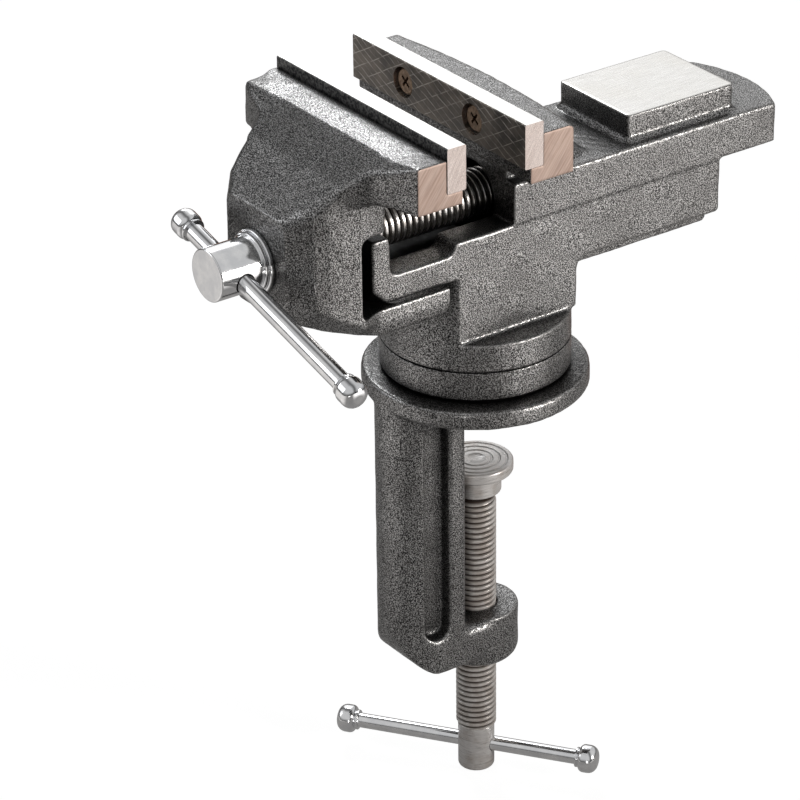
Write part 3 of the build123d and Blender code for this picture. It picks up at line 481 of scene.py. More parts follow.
def black_material():
    """Blackened steel, matt with rubbed spots."""
    dark, pale, shade = (0.030, 0.030, 0.032), (0.16, 0.155, 0.15), (0.006, 0.006, 0.006)
    g = material_graph("blackened_steel")
    rubbed = g.noise(420, 4.0, 0.65)
    color = g.mix(g.span(rubbed, 0.50, 0.78), dark, pale)
    # painted shade in corners and narrow gaps, driven by the occlusion node
    color = g.mix(g.span(g.openness(0.020), 0.3, 0.9, 0.9, 0.0), color, shade)
    return g.finish(color, g.span(rubbed, 0.3, 0.8, 0.60, 0.40), g.bump(rubbed, 0.3, 0.00005),
                    metallic=0.6)


def brass_material():
    """Turned brass of the nut."""
    dark, pale, brown = (0.52, 0.36, 0.13), (0.78, 0.60, 0.28), (0.30, 0.20, 0.10)
    g = material_graph("turned_brass")
    ring = g.noise(1.0, 3.0, 0.6, g.stretched((300.0, 4200.0, 300.0)))
    tarnish = g.noise(200, 4.0, 0.6)
    color = g.mix(g.span(ring, 0.3, 0.7), dark, pale)
    color = g.mix(g.span(tarnish, 0.45, 0.75, 0.0, 0.6), color, brown)
    return g.finish(color, g.span(ring, 0.3, 0.7, 0.26, 0.42), g.bump(ring, 0.3, 0.00004),
                    metallic=0.9)


PAINT = paint_material()
MILLED = milled_material()
GROUND = ground_material()
PLATE = jaw_plate_material()
BROWNED = browned_material()
CHROME = chrome_material()
TURNED = turned_material()
LEAD_THREAD = lead_thread_material()
CLAMP_THREAD = clamp_thread_material()
BLACK = black_material()
BRASS = brass_material()


# ---- meshes ----------------------------------------------------------------------------------------

def placed(origin, axis):
    """Matrix that takes a local Z axis to a direction at an origin."""
    turn = Vector(axis).to_track_quat("Z", "Y").to_matrix().to_4x4()
    return Matrix.Translation(Vector(origin)) @ turn


UPRIGHT = Matrix.Identity(4)
ALONG_LEAD = placed((0, 0, LEAD_Z), (0, 1, 0))


def outline(corners):
    """A (radius, height) outline whose (radius, height, round) corners are turned into arcs."""
    points = []
    for i, (r, h, size) in enumerate(corners):
        corner = Vector((r, h))
        if not size or i in (0, len(corners) - 1):
            points.append(corner)
            continue
        before = (Vector(corners[i - 1][:2]) - corner).normalized()
        after = (Vector(corners[i + 1][:2]) - corner).normalized()
        half = before.angle(after) / 2
        reach = size / math.tan(half)
        centre = corner + (before + after).normalized() * size / math.sin(half)
        start = corner + before * reach - centre
        end = corner + after * reach - centre
        first = math.atan2(start.y, start.x)
        sweep = math.remainder(math.atan2(end.y, end.x) - first, 2 * math.pi)
        points.append(corner + before * (reach + SUPPORT))
        for step in range(ARC_STEPS + 1):
            angle = first + sweep * step / ARC_STEPS
            points.append(centre + size * Vector((math.cos(angle), math.sin(angle))))
        points.append(corner + after * (reach + SUPPORT))
    return points


def divided(points, step):
    """The same outline with long runs cut into equal parts."""
    made = [points[0]]
    for a, b in zip(points, points[1:]):
        parts = max(1, round((b - a).length / step))
        made += [a.lerp(b, (k + 1) / parts) for k in range(parts)]
    return made


def new_piece(name, verts, faces, material, sharp_deg=SHARP_DEG):
    """A mesh object from millimetre points, smooth but for its sharp edges."""
    mesh = bpy.data.meshes.new(name)
    mesh.from_pydata([tuple(v) for v in np.asarray(verts, float) * MM], [], faces)
    mesh.update()
    mesh.materials.append(material)
    mesh.shade_smooth()
    mesh.set_sharp_from_angle(angle=math.radians(sharp_deg))
    piece = bpy.data.objects.new(name, mesh)
    bpy.context.scene.collection.objects.link(piece)
    return piece


def lathe(name, points, place, material, closed=False, segments=SEGMENTS):
    """A solid of revolution. An open outline starts and ends on the axis, a closed one goes round."""
    verts, rings = [], []
    for r, h in points:
        wide = r > ON_AXIS
        rings.append((len(verts), wide))
        if not wide:
            verts.append((0.0, 0.0, h))
            continue
        for k in range(segments):
            a = 2 * math.pi * k / segments
            verts.append((r * math.cos(a), r * math.sin(a), h))
    faces = []
    pairs = list(zip(rings, rings[1:])) + ([(rings[-1], rings[0])] if closed else [])
    for (a, wide_a), (b, wide_b) in pairs:
        for k in range(segments):
            n = (k + 1) % segments
            if wide_a and wide_b:
                faces.append((a + k, a + n, b + n, b + k))
            elif wide_b:
                faces.append((a, b + n, b + k))
            elif wide_a:
                faces.append((a + k, a + n, b))
    corners = [place @ Vector(v) for v in verts]
    piece = new_piece(name, corners, faces, material)
    outward(piece)
    return piece


def outward(piece):
    """Turns all faces the right way out."""
    made = bmesh.new()
    made.from_mesh(piece.data)
    bmesh.ops.recalc_face_normals(made, faces=made.faces)
    made.to_mesh(piece.data)
    made.free()
    piece.data.update()


CREST_SHARE = 0.36
FLANK_SHARE = 0.54


def thread_points(pitch, heights, radius_at_root, radius_at_crest, run_out):
    """Rows of points on a right-hand thread's skin, and the middles of its two ends."""
    start, end = heights[0], heights[-1]
    angles = np.arange(SEGMENTS) * 2 * math.pi / SEGMENTS
    phase = heights[:, None] / pitch - angles[None, :] / (2 * math.pi)
    away = np.abs(phase - np.round(phase)) * 2
    ease = np.clip((away - CREST_SHARE) / FLANK_SHARE, 0, 1)
    groove = ease * ease * (3 - 2 * ease)
    fade = np.minimum((heights - start) / run_out, (end - heights) / run_out)
    fade = np.clip(fade, 0, 1)[:, None]
    radius = radius_at_root + (radius_at_crest - radius_at_root) * (1 - groove) * fade
    x = radius * np.cos(angles)[None, :]
    y = radius * np.sin(angles)[None, :]
    z = np.repeat(heights[:, None], SEGMENTS, 1)
    verts = np.stack([x, y, z], -1).reshape(-1, 3)
    return np.vstack([verts, [[0, 0, start], [0, 0, end]]])


def thread(name, major, depth, pitch, start, end, run_out, place, material):
    """A helical right-hand thread from one level to another, running out to its root at both ends."""
    rows = int((end - start) / pitch * THREAD_ROWS_PER_TURN) + 1
    verts = thread_points(pitch, np.linspace(start, end, rows), major - depth, major, run_out)
    turn = np.array(place)
    verts = verts @ turn[:3, :3].T + turn[:3, 3]
    faces = []
    for row in range(rows - 1):
        a, b = row * SEGMENTS, (row + 1) * SEGMENTS
        for k in range(SEGMENTS):
            n = (k + 1) % SEGMENTS
            faces.append((a + k, a + n, b + n, b + k))
    low, high, last = rows * SEGMENTS, rows * SEGMENTS + 1, (rows - 1) * SEGMENTS
    for k in range(SEGMENTS):
        n = (k + 1) % SEGMENTS
        faces.append((low, n, k))
        faces.append((high, last + k, last + n))
    return new_piece(name, verts, faces, material, THREAD_SHARP_DEG)


def drilled(piece, cutter):
    """Cuts a hole with another mesh, which is then removed."""
    cut = piece.modifiers.new("hole", "BOOLEAN")
    cut.operation = "DIFFERENCE"
    cut.solver = "EXACT"
    cut.object = cutter
    graph = bpy.context.evaluated_depsgraph_get()
    mesh = bpy.data.meshes.new_from_object(piece.evaluated_get(graph))
    piece.modifiers.clear()
    piece.data = mesh
    bpy.data.objects.remove(cutter)
    mesh.shade_smooth()
    mesh.set_sharp_from_angle(angle=math.radians(SHARP_DEG))


def rod_outline(radius, low, high, size):
    return [(0, low, 0), (radius, low, size), (radius, high, size), (0, high, 0)]


def hole_cutter(radius, place, reach):
    corners = rod_outline(radius, -reach, reach, 0)
    return lathe("cutter", outline(corners), place, BLACK, segments=CUTTER_SEGMENTS)


# ---- castings --------------------------------------------------------------------------------------

VOXEL = 0.42
MERGE_M = 1e-6
FIRST_STEPS = 2
# Smoothing steps and proudness span of the paint's edge mark: rubbed wear with a painted highlight.
EDGE_WEAR_AND_HIGHLIGHT_STEPS = 5
EDGE_WEAR_AND_HIGHLIGHT_SPAN = (0.02, 0.10)
SKIN_DEPTH = 0.05
SKIN_SINK = 1.2
FACING = 0.8
CAST_MATERIALS = (PAINT, MILLED, GROUND)


def smoothed(points, edges, weight, steps):
    """Moves each point towards the mean of its neighbours, as far as its weight lets it."""
    a, b = edges[:, 0], edges[:, 1]
    count = np.bincount(a, minlength=len(points)) + np.bincount(b, minlength=len(points))
    count = np.maximum(count, 1)[:, None]
    for _ in range(steps):
        total = np.stack([
            np.bincount(a, points[b, k], len(points)) + np.bincount(b, points[a, k], len(points))
            for k in range(3)
        ], 1)
        points = points + 0.5 * weight[:, None] * (total / count - points)
    return points


def ramp(value, low, high):
    t = np.clip((value - low) / (high - low), 0, 1)
    return t * t * (3 - 2 * t)


def point_normals(points, quads):
    """Unit normals at the points, from the quads round them."""
    cross = np.cross(points[quads[:, 2]] - points[quads[:, 0]], points[quads[:, 3]] - points[quads[:, 1]])
    total = np.zeros_like(points)
    for k in range(4):
        for axis in range(3):
            total[:, axis] += np.bincount(quads[:, k], cross[:, axis], len(points))
    return total / np.maximum(np.linalg.norm(total, axis=1), 1e-12)[:, None]


def remeshed(node):
    """An even mesh of square faces round a CAD node's solid, as a new object."""
    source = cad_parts[node]
    piece = bpy.data.objects.new(node + "_cast", source.data.copy())
    bpy.context.scene.collection.objects.link(piece)
    joined = bmesh.new()
    joined.from_mesh(piece.data)
    bmesh.ops.remove_doubles(joined, verts=joined.verts, dist=MERGE_M)
    joined.to_mesh(piece.data)
    joined.free()
    remesh = piece.modifiers.new("remesh", "REMESH")
    remesh.mode = "VOXEL"
    remesh.voxel_size = VOXEL * MM
    graph = bpy.context.evaluated_depsgraph_get()
    mesh = bpy.data.meshes.new_from_object(piece.evaluated_get(graph))
    piece.modifiers.clear()
    piece.data = mesh
    mesh.name = piece.name
    return piece


def mesh_numbers(mesh):
    """A mesh's points in millimetres, and its edges and faces as rows of point numbers."""
    points = np.empty(len(mesh.vertices) * 3)
    mesh.vertices.foreach_get("co", points)
    edges = np.empty(len(mesh.edges) * 2, int)
    mesh.edges.foreach_get("vertices", edges)
    quads = np.empty(len(mesh.loops), int)
    mesh.loops.foreach_get("vertex_index", quads)
    return points.reshape(-1, 3) / MM, edges.reshape(-1, 2), quads.reshape(-1, 4)


def rubbed(points, edges, normals):
    """How far each point stands out from the skin round it, from 0 to 1; the paint turns this into rubbed
    wear and a painted edge highlight.
    """
    even = smoothed(points, edges, np.ones(len(points)), EDGE_WEAR_AND_HIGHLIGHT_STEPS)
    proud = np.einsum("ij,ij->i", points - even, normals)
    return ramp(proud, *EDGE_WEAR_AND_HIGHLIGHT_SPAN)


def skin_wave(points):
    """Broad unevenness of a cast skin, from about -2 to 2."""
    x, y, z = points.T
    wave = np.sin(0.55 * x + 0.31 * y + 0.4) * np.sin(0.48 * z - 0.29 * x + 1.1)
    wave += 0.6 * np.sin(0.93 * y + 0.4 * z) * np.sin(1.07 * x - 0.62 * y + 2.0)
    wave += 0.4 * np.sin(1.9 * z + 1.3 * x) * np.sin(1.7 * y - 1.1 * z + 0.7)
    return wave


def face_materials(points, quads):
    """Which of CAST_MATERIALS each face has: bare on the jaws' ends and on the anvil's top."""
    centres = points[quads].mean(1)
    facing = point_normals(points, quads)[quads].mean(1)
    x, y, z = centres.T
    end = (np.abs(x) > JAW_HALF - 0.25) & (np.abs(facing[:, 0]) > FACING) & (z > JAW_UNDER)
    anvil = (z > ANVIL_TOP - 0.30) & (z < ANVIL_TOP + 1) & (facing[:, 2] > FACING) & (y > ANVIL_FRONT)
    index = np.zeros(len(quads), np.int32)
    index[end] = CAST_MATERIALS.index(MILLED)
    index[anvil] = CAST_MATERIALS.index(GROUND)
    return index


def casting(node, body, steps, machined, softer=(), reshape=None):
    """Stands for a cast CAD node: the same solid with softened edges and a faintly uneven skin.

    machined(points) is 1 where the casting is cut and stays sharp. softer holds zones with extra smoothing.
    """
    piece = remeshed(node)
    mesh = piece.data
    points, edges, quads = mesh_numbers(mesh)
    rough = 1 - machined(points)
    points = smoothed(points, edges, np.ones(len(points)), FIRST_STEPS)
    points = smoothed(points, edges, rough, steps)
    for zone, extra in softer:
        points = smoothed(points, edges, zone(points), extra)
    points = reshape(points) if reshape else points
    normals = point_normals(points, quads)
    # edge mark for the paint: rubbed wear and a painted highlight, none on machined faces
    edge_wear_and_highlight = rubbed(points, edges, normals) * rough
    depth = SKIN_DEPTH * rough * (skin_wave(points) - SKIN_SINK)
    points = points + normals * depth[:, None]

    mesh.vertices.foreach_set("co", (points * MM).ravel())
    layer = mesh.attributes.new("edge_wear_and_highlight", "FLOAT", "POINT")
    layer.data.foreach_set("value", edge_wear_and_highlight.astype(np.float32))
    mesh.materials.clear()
    for material in CAST_MATERIALS:
        mesh.materials.append(material)
    mesh.polygons.foreach_set("material_index", face_materials(points, quads))
    mesh.shade_smooth()
    mesh.update()
    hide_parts(node)
    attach(piece, body)


def jaw_machined(points):
    """Where the movable casting is cut: its ends, its plate seat and round its bore."""
    x, y, z = points.T
    ends = ramp(np.abs(x), JAW_HALF - 1.2, JAW_HALF - 0.7) * (z > JAW_UNDER)
    seat = ramp(y, -40.2, -39.4) * ramp(z, *SEAT_SPAN)
    bore = (np.hypot(x, z - LEAD_Z) < 10.5) & (y < -70)
    return np.maximum(np.maximum(ends, seat), bore)


def body_machined(points):
    """Where the fixed casting is cut: jaw ends, plate seat, anvil top and parting face."""
    x, y, z = points.T
    ends = ramp(np.abs(x), JAW_HALF - 1.2, JAW_HALF - 0.7) * (z > JAW_UNDER)
    seat = (1 - ramp(y, -6.6, -5.8)) * ramp(z, *SEAT_SPAN)
    anvil = ramp(z, ANVIL_TOP - 0.8, ANVIL_TOP - 0.4) * (y > ANVIL_FRONT)
    turret = 1 - ramp(z, RING_TOP + 0.6, RING_TOP + 1.4)
    return np.maximum.reduce([ends, seat, anvil, turret * 0.8])


def frame_machined(points):
    """The clamp frame is cut only inside its bores and where the ring sits."""
    x, y, z = points.T
    return ((np.hypot(x, y) < 7.5) | ((z > FLANGE_TOP + 1) & (np.hypot(x, y) < 16))) * 1.0


def wing_soft(points):
    """Soft blends where the wings meet the nose, and a rounder far end."""
    x, y, z = points.T
    blends = ramp(-y, 46.5, 48.5) * ramp(z, 76, 80) * ramp(38 - np.abs(x), 0, 3) * ramp(np.abs(x), 22, 25)
    far = ramp(-x, 32, 36) * ramp(-y, 41, 44) * ramp(z, 84, 88)
    return np.maximum(blends, far)


BEND_Y = -47.1
BEND_REACH = 7.0
BEND_SLOPE = 0.61
LIP_TOP = 44.1
LIP_INSIDE = 19.6
LIP_LEAN = 0.36


def jaw_shape(points):
    """The nose's top bends broadly, the far wing lies lower and further forward, and the lips lean in."""
    x, y, z = points.T
    inside = np.clip(BEND_REACH - np.sqrt((y - BEND_Y) ** 2 + 1.0), 0, None)
    bend = BEND_SLOPE * inside ** 2 / (4 * BEND_REACH) * ramp(z, 84, 89) * (1 - ramp(np.abs(x), 27, 39))
    forward = 1.3 * ramp(-x, 25, 37) * ramp(-y, 43, 48)
    drop = 1.1 * ramp(-x, 30, 40) * ramp(-y, 40.0, 46.0) * ramp(z, 80, 92)
    lip = ramp(y, -55.0, -47.0) * ramp(z, 34.5, 44.6) * (z < LIP_TOP + 0.3)
    inward = LIP_LEAN * np.clip(np.abs(x) - LIP_INSIDE, 0, None) * lip * np.sign(x)
    return points - np.stack([inward, forward, bend + drop], 1)


def pocket_soft(points):
    """The column's side pockets have soft walls."""
    x, y, z = points.T
    zone = ramp(-z, 1.0, 5.0) * (1 - ramp(-z, 78, 84)) * ramp(np.abs(x), 5.0, 7.0)
    return zone * ramp(-y, 15.2, 17.5)


casting("clamp_frame", "frame", 6, frame_machined, [(pocket_soft, 22)])
casting("fixed_body", "vise_body", 2, body_machined)
casting("movable_jaw", "moving_jaw", 2, jaw_machined, [(wing_soft, 30)], jaw_shape)


# ---- turned and polished pieces --------------------------------------------------------------------

def settle(piece, body, slot, *nodes):
    """Rides a finished piece on its body, in place of CAD nodes."""
    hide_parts(*nodes)
    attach(piece, body)


def make_swivel_ring():
    corners = [
        (SPIGOT_R, FLANGE_TOP, 0), (TURRET_R - 1.2, FLANGE_TOP, 0.25), (TURRET_R, FLANGE_TOP + 1.2, 0.35),
        (TURRET_R, RING_TOP - 0.05, 0.35), (SPIGOT_R, RING_TOP - 0.05, 0),
    ]
    ring = lathe("swivel_ring_turned", outline(corners), UPRIGHT, PAINT, closed=True, segments=RING_SEGMENTS)
    settle(ring, "frame", "cast_paint", "swivel_ring")


def bar_middle(origin, axis, offset):
    """Frame of a sliding bar: its own Z lies along the bar, with its origin at the bar's middle."""
    return placed(origin, axis) @ Matrix.Translation((0, 0, offset))


def make_bar(name, place, radius, length, end_r, end_length, body, rod_node, ends_node):
    """A polished sliding bar and its two ends: a neck ring, a groove and a rounded knob."""
    rod = lathe(name + "_rod", outline(rod_outline(radius, -length / 2, length / 2, 0.3)), place, CHROME)
    settle(rod, body, "polished_steel", rod_node)
    inner = length / 2 - end_length / 2
    knob = [
        (radius - 0.4, inner - 0.6, 0), (radius + 0.8, inner - 0.6, 0.22), (radius + 0.8, inner, 0.12),
        (radius + 0.3, inner + 0.3, 0.15), (end_r, inner + 0.9, 1.5), (end_r, inner + end_length, 2.6),
        (0, inner + end_length, 0),
    ]
    profile = [Vector((0, inner - 0.6))] + outline(knob)
    for side, turn in (("low", Matrix.Rotation(math.pi, 4, "X")), ("high", Matrix.Identity(4))):
        end = lathe(f"{name}_end_{side}", profile, place @ turn, CHROME)
        settle(end, body, "polished_steel", ends_node)


LEAD_BAR_AXIS = (math.cos(math.radians(LEAD_BAR_DROP)), 0, -math.sin(math.radians(LEAD_BAR_DROP)))
CLAMP_BAR_AXIS = (math.cos(math.radians(CLAMP_BAR_TURN)), math.sin(math.radians(CLAMP_BAR_TURN)), 0)
LOCK_BAR_AXIS = (0, math.cos(math.radians(LOCK_BAR_TILT)), math.sin(math.radians(LOCK_BAR_TILT)))
LEAD_BAR_MIDDLE = bar_middle((0, LEAD_BAR_Y, LEAD_Z), LEAD_BAR_AXIS, LEAD_BAR_OFFSET)
CLAMP_BAR_MIDDLE = bar_middle((0, 0, CLAMP_BAR_Z), CLAMP_BAR_AXIS, CLAMP_BAR_OFFSET)
DRILL_OVER = 2.0  # how far a cutter stands out of the piece it drills


def make_lead_screw():
    corners = [
        (0, LEAD_HEAD_FACE, 0), (LEAD_HEAD_R, LEAD_HEAD_FACE, 0.5), (LEAD_HEAD_R, LEAD_SHOULDER_FACE, 0.12),
        (LEAD_SHOULDER_R, LEAD_SHOULDER_FACE, 0.4), (LEAD_SHOULDER_R, LEAD_WASHER_FACE, 0.35),
        (LEAD_JOURNAL_R, LEAD_WASHER_FACE, 0), (LEAD_JOURNAL_R, LEAD_THREAD_START, 0.3),
        (0, LEAD_THREAD_START, 0),
    ]
    head = lathe("lead_head", divided(outline(corners), RING_STEP), ALONG_LEAD, CHROME)
    place = placed((0, LEAD_BAR_Y, LEAD_Z), LEAD_BAR_AXIS)
    drilled(head, hole_cutter(LEAD_BAR_R + 0.3, place, LEAD_SHOULDER_R + DRILL_OVER))
    settle(head, "lead_spindle", "polished_steel", "lead_screw")
    screw = thread("lead_thread", LEAD_MAJOR_R, LEAD_THREAD_DEPTH, LEAD_PITCH, LEAD_THREAD_START,
                   LEAD_THREAD_END, LEAD_RUN_OUT, ALONG_LEAD, LEAD_THREAD)
    settle(screw, "lead_spindle", "polished_steel", "lead_screw")


def make_lead_washer():
    face = LEAD_WASHER_FACE + WASHER_CLEARANCE
    bore = LEAD_JOURNAL_R + 0.15
    middle = (bore, (LEAD_WASHER_FACE + NOSE_FRONT) / 2, 0)
    corners = [
        middle, (bore, face, 0.15), (LEAD_WASHER_R, face, 0.45), (LEAD_WASHER_R, NOSE_FRONT, 0.3),
        (bore, NOSE_FRONT, 0), middle,
    ]
    washer = lathe("lead_washer_ring", outline(corners)[:-1], ALONG_LEAD, CHROME, closed=True)
    settle(washer, "moving_jaw", "polished_steel", "lead_washer")


def arc_points(radius, height, degrees):
    """Points of an outline on a circle about the axis, at the given angles from level."""
    angles = [math.radians(degree) for degree in degrees]
    return [Vector((radius * math.cos(a), height + radius * math.sin(a))) for a in angles]


def make_clamp_screw():
    ball = arc_points(BALL_R, BALL_Z, [90 - step * BALL_STEP_DEG for step in range(BALL_STEPS)])
    ball[0].x = 0.0
    neck = outline([(NECK_R, BALL_Z - 2.83, 0), (NECK_R, CLAMP_THREAD_TOP, 0.3), (0, CLAMP_THREAD_TOP, 0)])
    top = lathe("clamp_ball", ball + neck, UPRIGHT, TURNED)
    settle(top, "clamp_spindle", "turned_steel", "clamp_screw")
    screw = thread("clamp_thread", CLAMP_MAJOR_R, CLAMP_THREAD_DEPTH, CLAMP_PITCH, CLAMP_THREAD_END,
                   CLAMP_THREAD_TOP, CLAMP_RUN_OUT, UPRIGHT, CLAMP_THREAD)
    settle(screw, "clamp_spindle", "turned_steel", "clamp_screw")
    barrel_top = CLAMP_THREAD_END + 0.6
    corners = [
        (0, CLAMP_BARREL_END, 0), (CLAMP_BARREL_R, CLAMP_BARREL_END, 1.0),
        (CLAMP_BARREL_R, barrel_top, 0.35), (0, barrel_top, 0),
    ]
    barrel = lathe("clamp_barrel", divided(outline(corners), RING_STEP), UPRIGHT, TURNED)
    place = placed((0, 0, CLAMP_BAR_Z), CLAMP_BAR_AXIS)
    drilled(barrel, hole_cutter(CLAMP_BAR_R + 0.2, place, CLAMP_BARREL_R + DRILL_OVER))
    settle(barrel, "clamp_spindle", "turned_steel", "clamp_screw")


def make_clamp_pad():
    """The pressure pad: rings turned in its face, and a socket round the screw's ball."""
    low = PAD_TOP - PAD_RING_DEPTH
    rim = PAD_TOP - PAD_PLATE
    mouth = NECK_R + 0.15
    corners = [(0, low, 0), (2.4, low, 0)]
    for ring in range(3):
        start = 3.0 + 2.2 * ring
        corners += [(start, PAD_TOP, 0.08), (start + 1.2, PAD_TOP, 0.08)]
        corners += [(start + 1.5, low, 0), (start + 1.9, low, 0)]
    corners += [
        (9.6, PAD_TOP, 0.08), (PAD_R, PAD_TOP, 0.7), (PAD_R, rim, 0.8), (PAD_CUP_R, rim, 0.8),
        (PAD_CUP_R, PAD_BOTTOM, 0.5), (mouth, PAD_BOTTOM, 0.3), (mouth, BALL_Z - 2.85, 0),
    ]
    socket = arc_points(BALL_R + 0.05, BALL_Z, [-42 + step * 132 / 14 for step in range(1, 15)])
    socket[-1].x = 0.0
    points = outline(corners) + socket
    pad = lathe("clamp_pad_turned", points, UPRIGHT, TURNED)
    settle(pad, "pad", "turned_steel", "clamp_pad")


def make_swivel_lock():
    """The lock screw with its grooved head, and the small bar with a ball at each end."""
    place = placed((0, 0, LOCK_Z), (-1, 0, 0))
    start, end = -LOCK_HEAD_START, -LOCK_HEAD_END
    corners = [
        (0, -LOCK_TIP, 0), (LOCK_R, -LOCK_TIP, 0.4), (LOCK_R, start, 0.2), (LOCK_HEAD_R, start, 0.6),
        (LOCK_HEAD_R, start + 1.6, 0.15), (LOCK_HEAD_R - 0.35, start + 1.9, 0.15),
        (LOCK_HEAD_R - 0.35, start + 2.3, 0.15), (LOCK_HEAD_R, start + 2.6, 0.15),
        (LOCK_HEAD_R, end, 0.9), (0, end, 0),
    ]
    head = lathe("lock_screw_turned", divided(outline(corners), RING_STEP), place, TURNED)
    bar_place = placed((LOCK_BAR_X, 0, LOCK_Z), LOCK_BAR_AXIS)
    drilled(head, hole_cutter(LOCK_BAR_R + 0.12, bar_place, LOCK_HEAD_R + DRILL_OVER))
    settle(head, "swivel_lock", "turned_steel", "swivel_lock_screw")
    waist = math.sqrt(LOCK_END_R ** 2 - LOCK_BAR_R ** 2)
    sweep = 90 + math.degrees(math.atan2(waist, LOCK_BAR_R))
    half = arc_points(LOCK_END_R, LOCK_BAR_LENGTH / 2, [90 - step / 14 * sweep for step in range(15)])
    half[0].x = 0.0
    points = divided(half + [Vector((p.x, -p.y)) for p in reversed(half)], 4.0)
    bar = lathe("lock_bar_turned", points, bar_place, CHROME, segments=BAR_SEGMENTS)
    settle(bar, "swivel_lock", "polished_steel", "swivel_lock_bar")


make_swivel_ring()
make_lead_screw()
make_lead_washer()
make_bar("lead_bar", LEAD_BAR_MIDDLE, LEAD_BAR_R, LEAD_BAR_LENGTH, LEAD_END_R, LEAD_END_LENGTH,
         "lead_bar", "lead_tbar", "lead_tbar_ends")
make_clamp_screw()
make_bar("clamp_bar", CLAMP_BAR_MIDDLE, CLAMP_BAR_R, CLAMP_BAR_LENGTH, CLAMP_END_R, CLAMP_END_LENGTH,
         "clamp_bar", "clamp_tbar", "clamp_tbar_ends")
make_clamp_pad()
make_swivel_lock()


# ---- CAD nodes that stay, with finished materials --------------------------------------------------

KEPT = {
    "rear_jaw_plate": PLATE, "front_jaw_plate": PLATE,
    "rear_jaw_screws": BROWNED, "front_jaw_screws": BROWNED,
    "pivot_bolt": BLACK, "pivot_washer": BLACK, "lead_nut": BRASS, "lead_nut_screw": BLACK,
    "guide_bar": BLACK, "guide_bar_pins": TURNED, "lead_collar": TURNED, "lead_collar_pin": TURNED,
}
for node, material in KEPT.items():
    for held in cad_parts[node].material_slots:
        held.material = material


# ---- floor, light and camera -----------------------------------------------------------------------

def glow_towards(g, reach, way, low, high, to_low=0.0, to_high=1.0):
    """Rises as a floor point's direction from the middle nears a given way."""
    return g.span(g.math("DIVIDE", g.along(way), reach), low, high, to_low, to_high)


def make_floor():
    """Pale floor that shows white to the camera and still holds the object's shadow."""
    level = CAD_BOX[0].z / MM - FLOOR_GAP
    far = FLOOR_HALF
    corners = [(-far, -far, level), (far, -far, level), (far, far, level), (-far, far, level)]
    g = material_graph("pale_floor")
    path = g.tree.nodes.new("ShaderNodeLightPath")
    glossy = path.outputs["Is Glossy Ray"]
    reach = g.length(g.place)
    right = glow_towards(g, reach, FLOOR_RIGHT_WAY, 0.72, 0.94, 0.0, FLOOR_RIGHT_GLOW)
    right = g.math("MULTIPLY", right, g.span(reach, 0.10, 0.46, 0.12, 1.0))
    left = glow_towards(g, reach, FLOOR_LEFT_WAY, 0.62, 1.0, 0.0, FLOOR_LEFT_GLOW)
    left = g.math("MULTIPLY", left, g.span(reach, 0.03, 0.20, 0.7, 1.0))
    left = g.math("MULTIPLY", left, g.span(reach, 0.30, 0.40, 1.0, 0.70))
    seen = g.math("ADD", g.math("ADD", right, left), FLOOR_FRONT_GLOW)
    warm = glow_towards(g, reach, FLOOR_WARM_WAY, 0.70, 0.98)
    tint = g.mix(warm, (1.0, 0.97, 0.945), (0.62, 0.27, 0.14))
    diffuse = g.tree.nodes.new("ShaderNodeBsdfDiffuse")
    diffuse.inputs["Color"].default_value = (*FLOOR_COLOR, 1.0)
    glow = g.tree.nodes.new("ShaderNodeEmission")
    g.put(glow.inputs["Color"], g.mix(glossy, (1.0, 1.0, 1.0), tint))
    shown = g.blend(path.outputs["Is Camera Ray"], g.math("MULTIPLY", glossy, seen), FLOOR_GLOW)
    g.put(glow.inputs["Strength"], shown)
    both = g.tree.nodes.new("ShaderNodeAddShader")
    g.put(both.inputs[0], diffuse.outputs[0])
    g.put(both.inputs[1], glow.outputs[0])
    g.show(both.outputs[0], "ShaderNodeOutputMaterial")
    new_piece("floor", corners, [(0, 1, 2, 3)], g.owner)


def make_world():
    """White to the camera, a faint plain light on the object, and a brighter sky for gloss to mirror."""
    bpy.context.scene.world = bpy.data.worlds.new("studio")
    g = Graph(bpy.context.scene.world)
    path = g.tree.nodes.new("ShaderNodeLightPath")
    _, y, z = g.separated(g.ray)
    rise = g.span(z, 0.04, 0.38, WORLD_GLOSS_LOW, WORLD_GLOSS_HIGH, "LINEAR")
    aside = g.math("ABSOLUTE", g.math("ADD", y, WORLD_STRIPE_SHIFT))
    stripe = g.span(aside, 0.05, 0.34, WORLD_STRIPE_SHARE, 1.0, "LINEAR")
    mirrored = g.math("MULTIPLY", rise, stripe)
    unseen = g.blend(path.outputs["Is Glossy Ray"], WORLD_LIGHT, mirrored)
    direct = g.math("MAXIMUM", path.outputs["Is Camera Ray"], path.outputs["Is Transmission Ray"])
    sky = g.tree.nodes.new("ShaderNodeBackground")
    g.put(sky.inputs["Strength"], g.blend(direct, unseen, 1.0))
    g.show(sky.outputs[0], "ShaderNodeOutputWorld")


def softbox(name, direction, distance_m, size_m, power, color, spread_deg, diffuse, aim_z_m):
    """Square area lamp in a direction from a point on the swivel axis, aimed at that point."""
    lamp = bpy.data.lights.new(name, "AREA")
    lamp.shape = "SQUARE"
    lamp.size = size_m
    lamp.energy = power
    lamp.color = color
    lamp.spread = math.radians(spread_deg)
    lamp.diffuse_factor = diffuse
    holder = bpy.data.objects.new(name, lamp)
    bpy.context.scene.collection.objects.link(holder)
    towards = Vector(direction).normalized()
    holder.location = Vector((0, 0, aim_z_m)) + towards * distance_m
    holder.rotation_mode = "QUATERNION"
    holder.rotation_quaternion = towards.to_track_quat("Z", "Y")
    holder.visible_camera = False


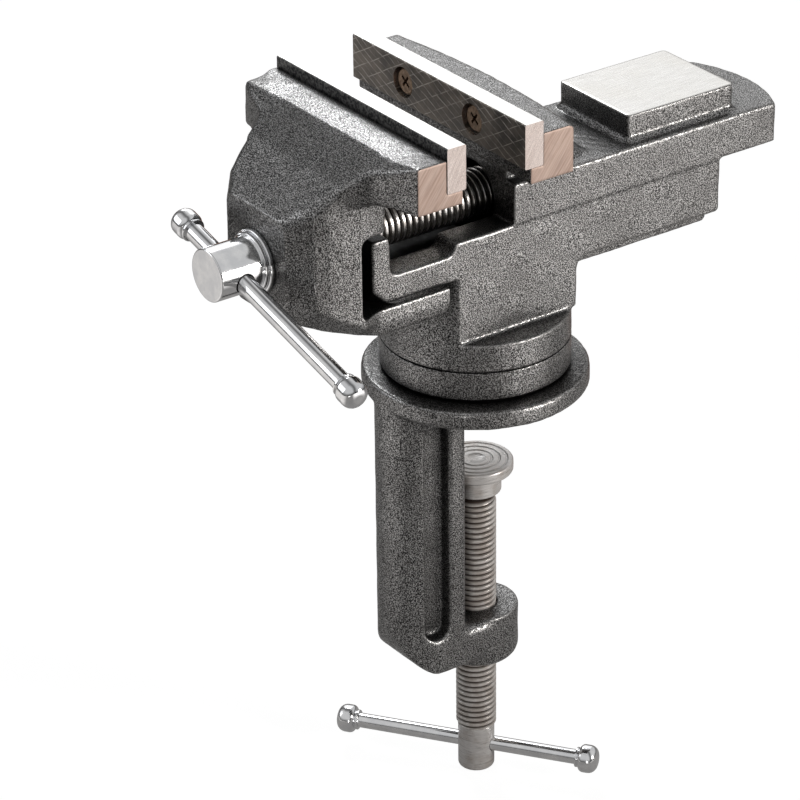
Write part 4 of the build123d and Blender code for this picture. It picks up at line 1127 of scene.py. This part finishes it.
FLOOR_GAP = 0.3
FLOOR_HALF = 4000.0
FLOOR_COLOR = (0.20, 0.20, 0.20)
FLOOR_GLOW = 0.94
FLOOR_FRONT_GLOW = 0.24
FLOOR_RIGHT_GLOW = 1.35
FLOOR_LEFT_GLOW = 0.85
FLOOR_RIGHT_WAY = (0.93, 0.36, 0.0)
FLOOR_LEFT_WAY = (-0.34, -0.94, 0.0)
FLOOR_WARM_WAY = (-0.70, 0.71, 0.0)
WORLD_LIGHT = 0.02
WORLD_GLOSS_LOW = 0.10
WORLD_GLOSS_HIGH = 0.85
WORLD_STRIPE_SHIFT = 0.02
WORLD_STRIPE_SHARE = 0.25
SOFTBOXES = (
    ("key_right", (0.85, 0.45, 0.10), 0.70, 0.20, 0.44, (1.0, 0.965, 0.93), 60.0, 1.0, 0.085),
    ("front_left", (-0.60, -0.70, 0.35), 0.90, 0.45, 1.00, (0.95, 0.97, 1.0), 180.0, 1.0, 0.075),
    ("top_left", (-0.72, 0.29, 0.63), 0.90, 0.26, 1.75, (0.97, 0.985, 1.0), 180.0, 0.5, 0.075),
    ("top_back", (-0.72, 0.51, 0.47), 0.90, 0.70, 1.00, (1.0, 1.0, 1.0), 180.0, 0.0, 0.075),
    ("low_fill", (0.70, -0.66, 0.08), 0.60, 0.16, 0.03, (1.0, 0.98, 0.96), 36.0, 1.0, -0.135),
)

CAMERA_PLACE_M = Vector((0.80457, -0.59792, 0.52063))
CAMERA_AZIMUTH = 54.621
CAMERA_ELEVATION = 27.757
CAMERA_ROLL = -0.720
CAMERA_LENS = 177.31
CAMERA_SENSOR = 36.0


def make_camera():
    """The photograph's view, fitted to the jaw plates, the flange and the clamp screw."""
    azimuth, elevation = math.radians(CAMERA_AZIMUTH), math.radians(CAMERA_ELEVATION)
    level = math.cos(elevation)
    back = Vector((math.sin(azimuth) * level, -math.cos(azimuth) * level, math.sin(elevation)))
    lens = bpy.data.cameras.new("camera")
    lens.lens = CAMERA_LENS
    lens.sensor_width = CAMERA_SENSOR
    lens.clip_start, lens.clip_end = 0.01, 50.0
    camera = bpy.data.objects.new("camera", lens)
    bpy.context.scene.collection.objects.link(camera)
    camera.location = CAMERA_PLACE_M
    camera.rotation_mode = "QUATERNION"
    roll = Quaternion((0, 0, 1), math.radians(CAMERA_ROLL))
    camera.rotation_quaternion = (-back).to_track_quat("-Z", "Y") @ roll
    bpy.context.scene.camera = camera


make_floor()
make_world()
for lamp_facts in SOFTBOXES:
    softbox(*lamp_facts)
make_camera()
bpy.context.scene.view_settings.view_transform = "Standard"
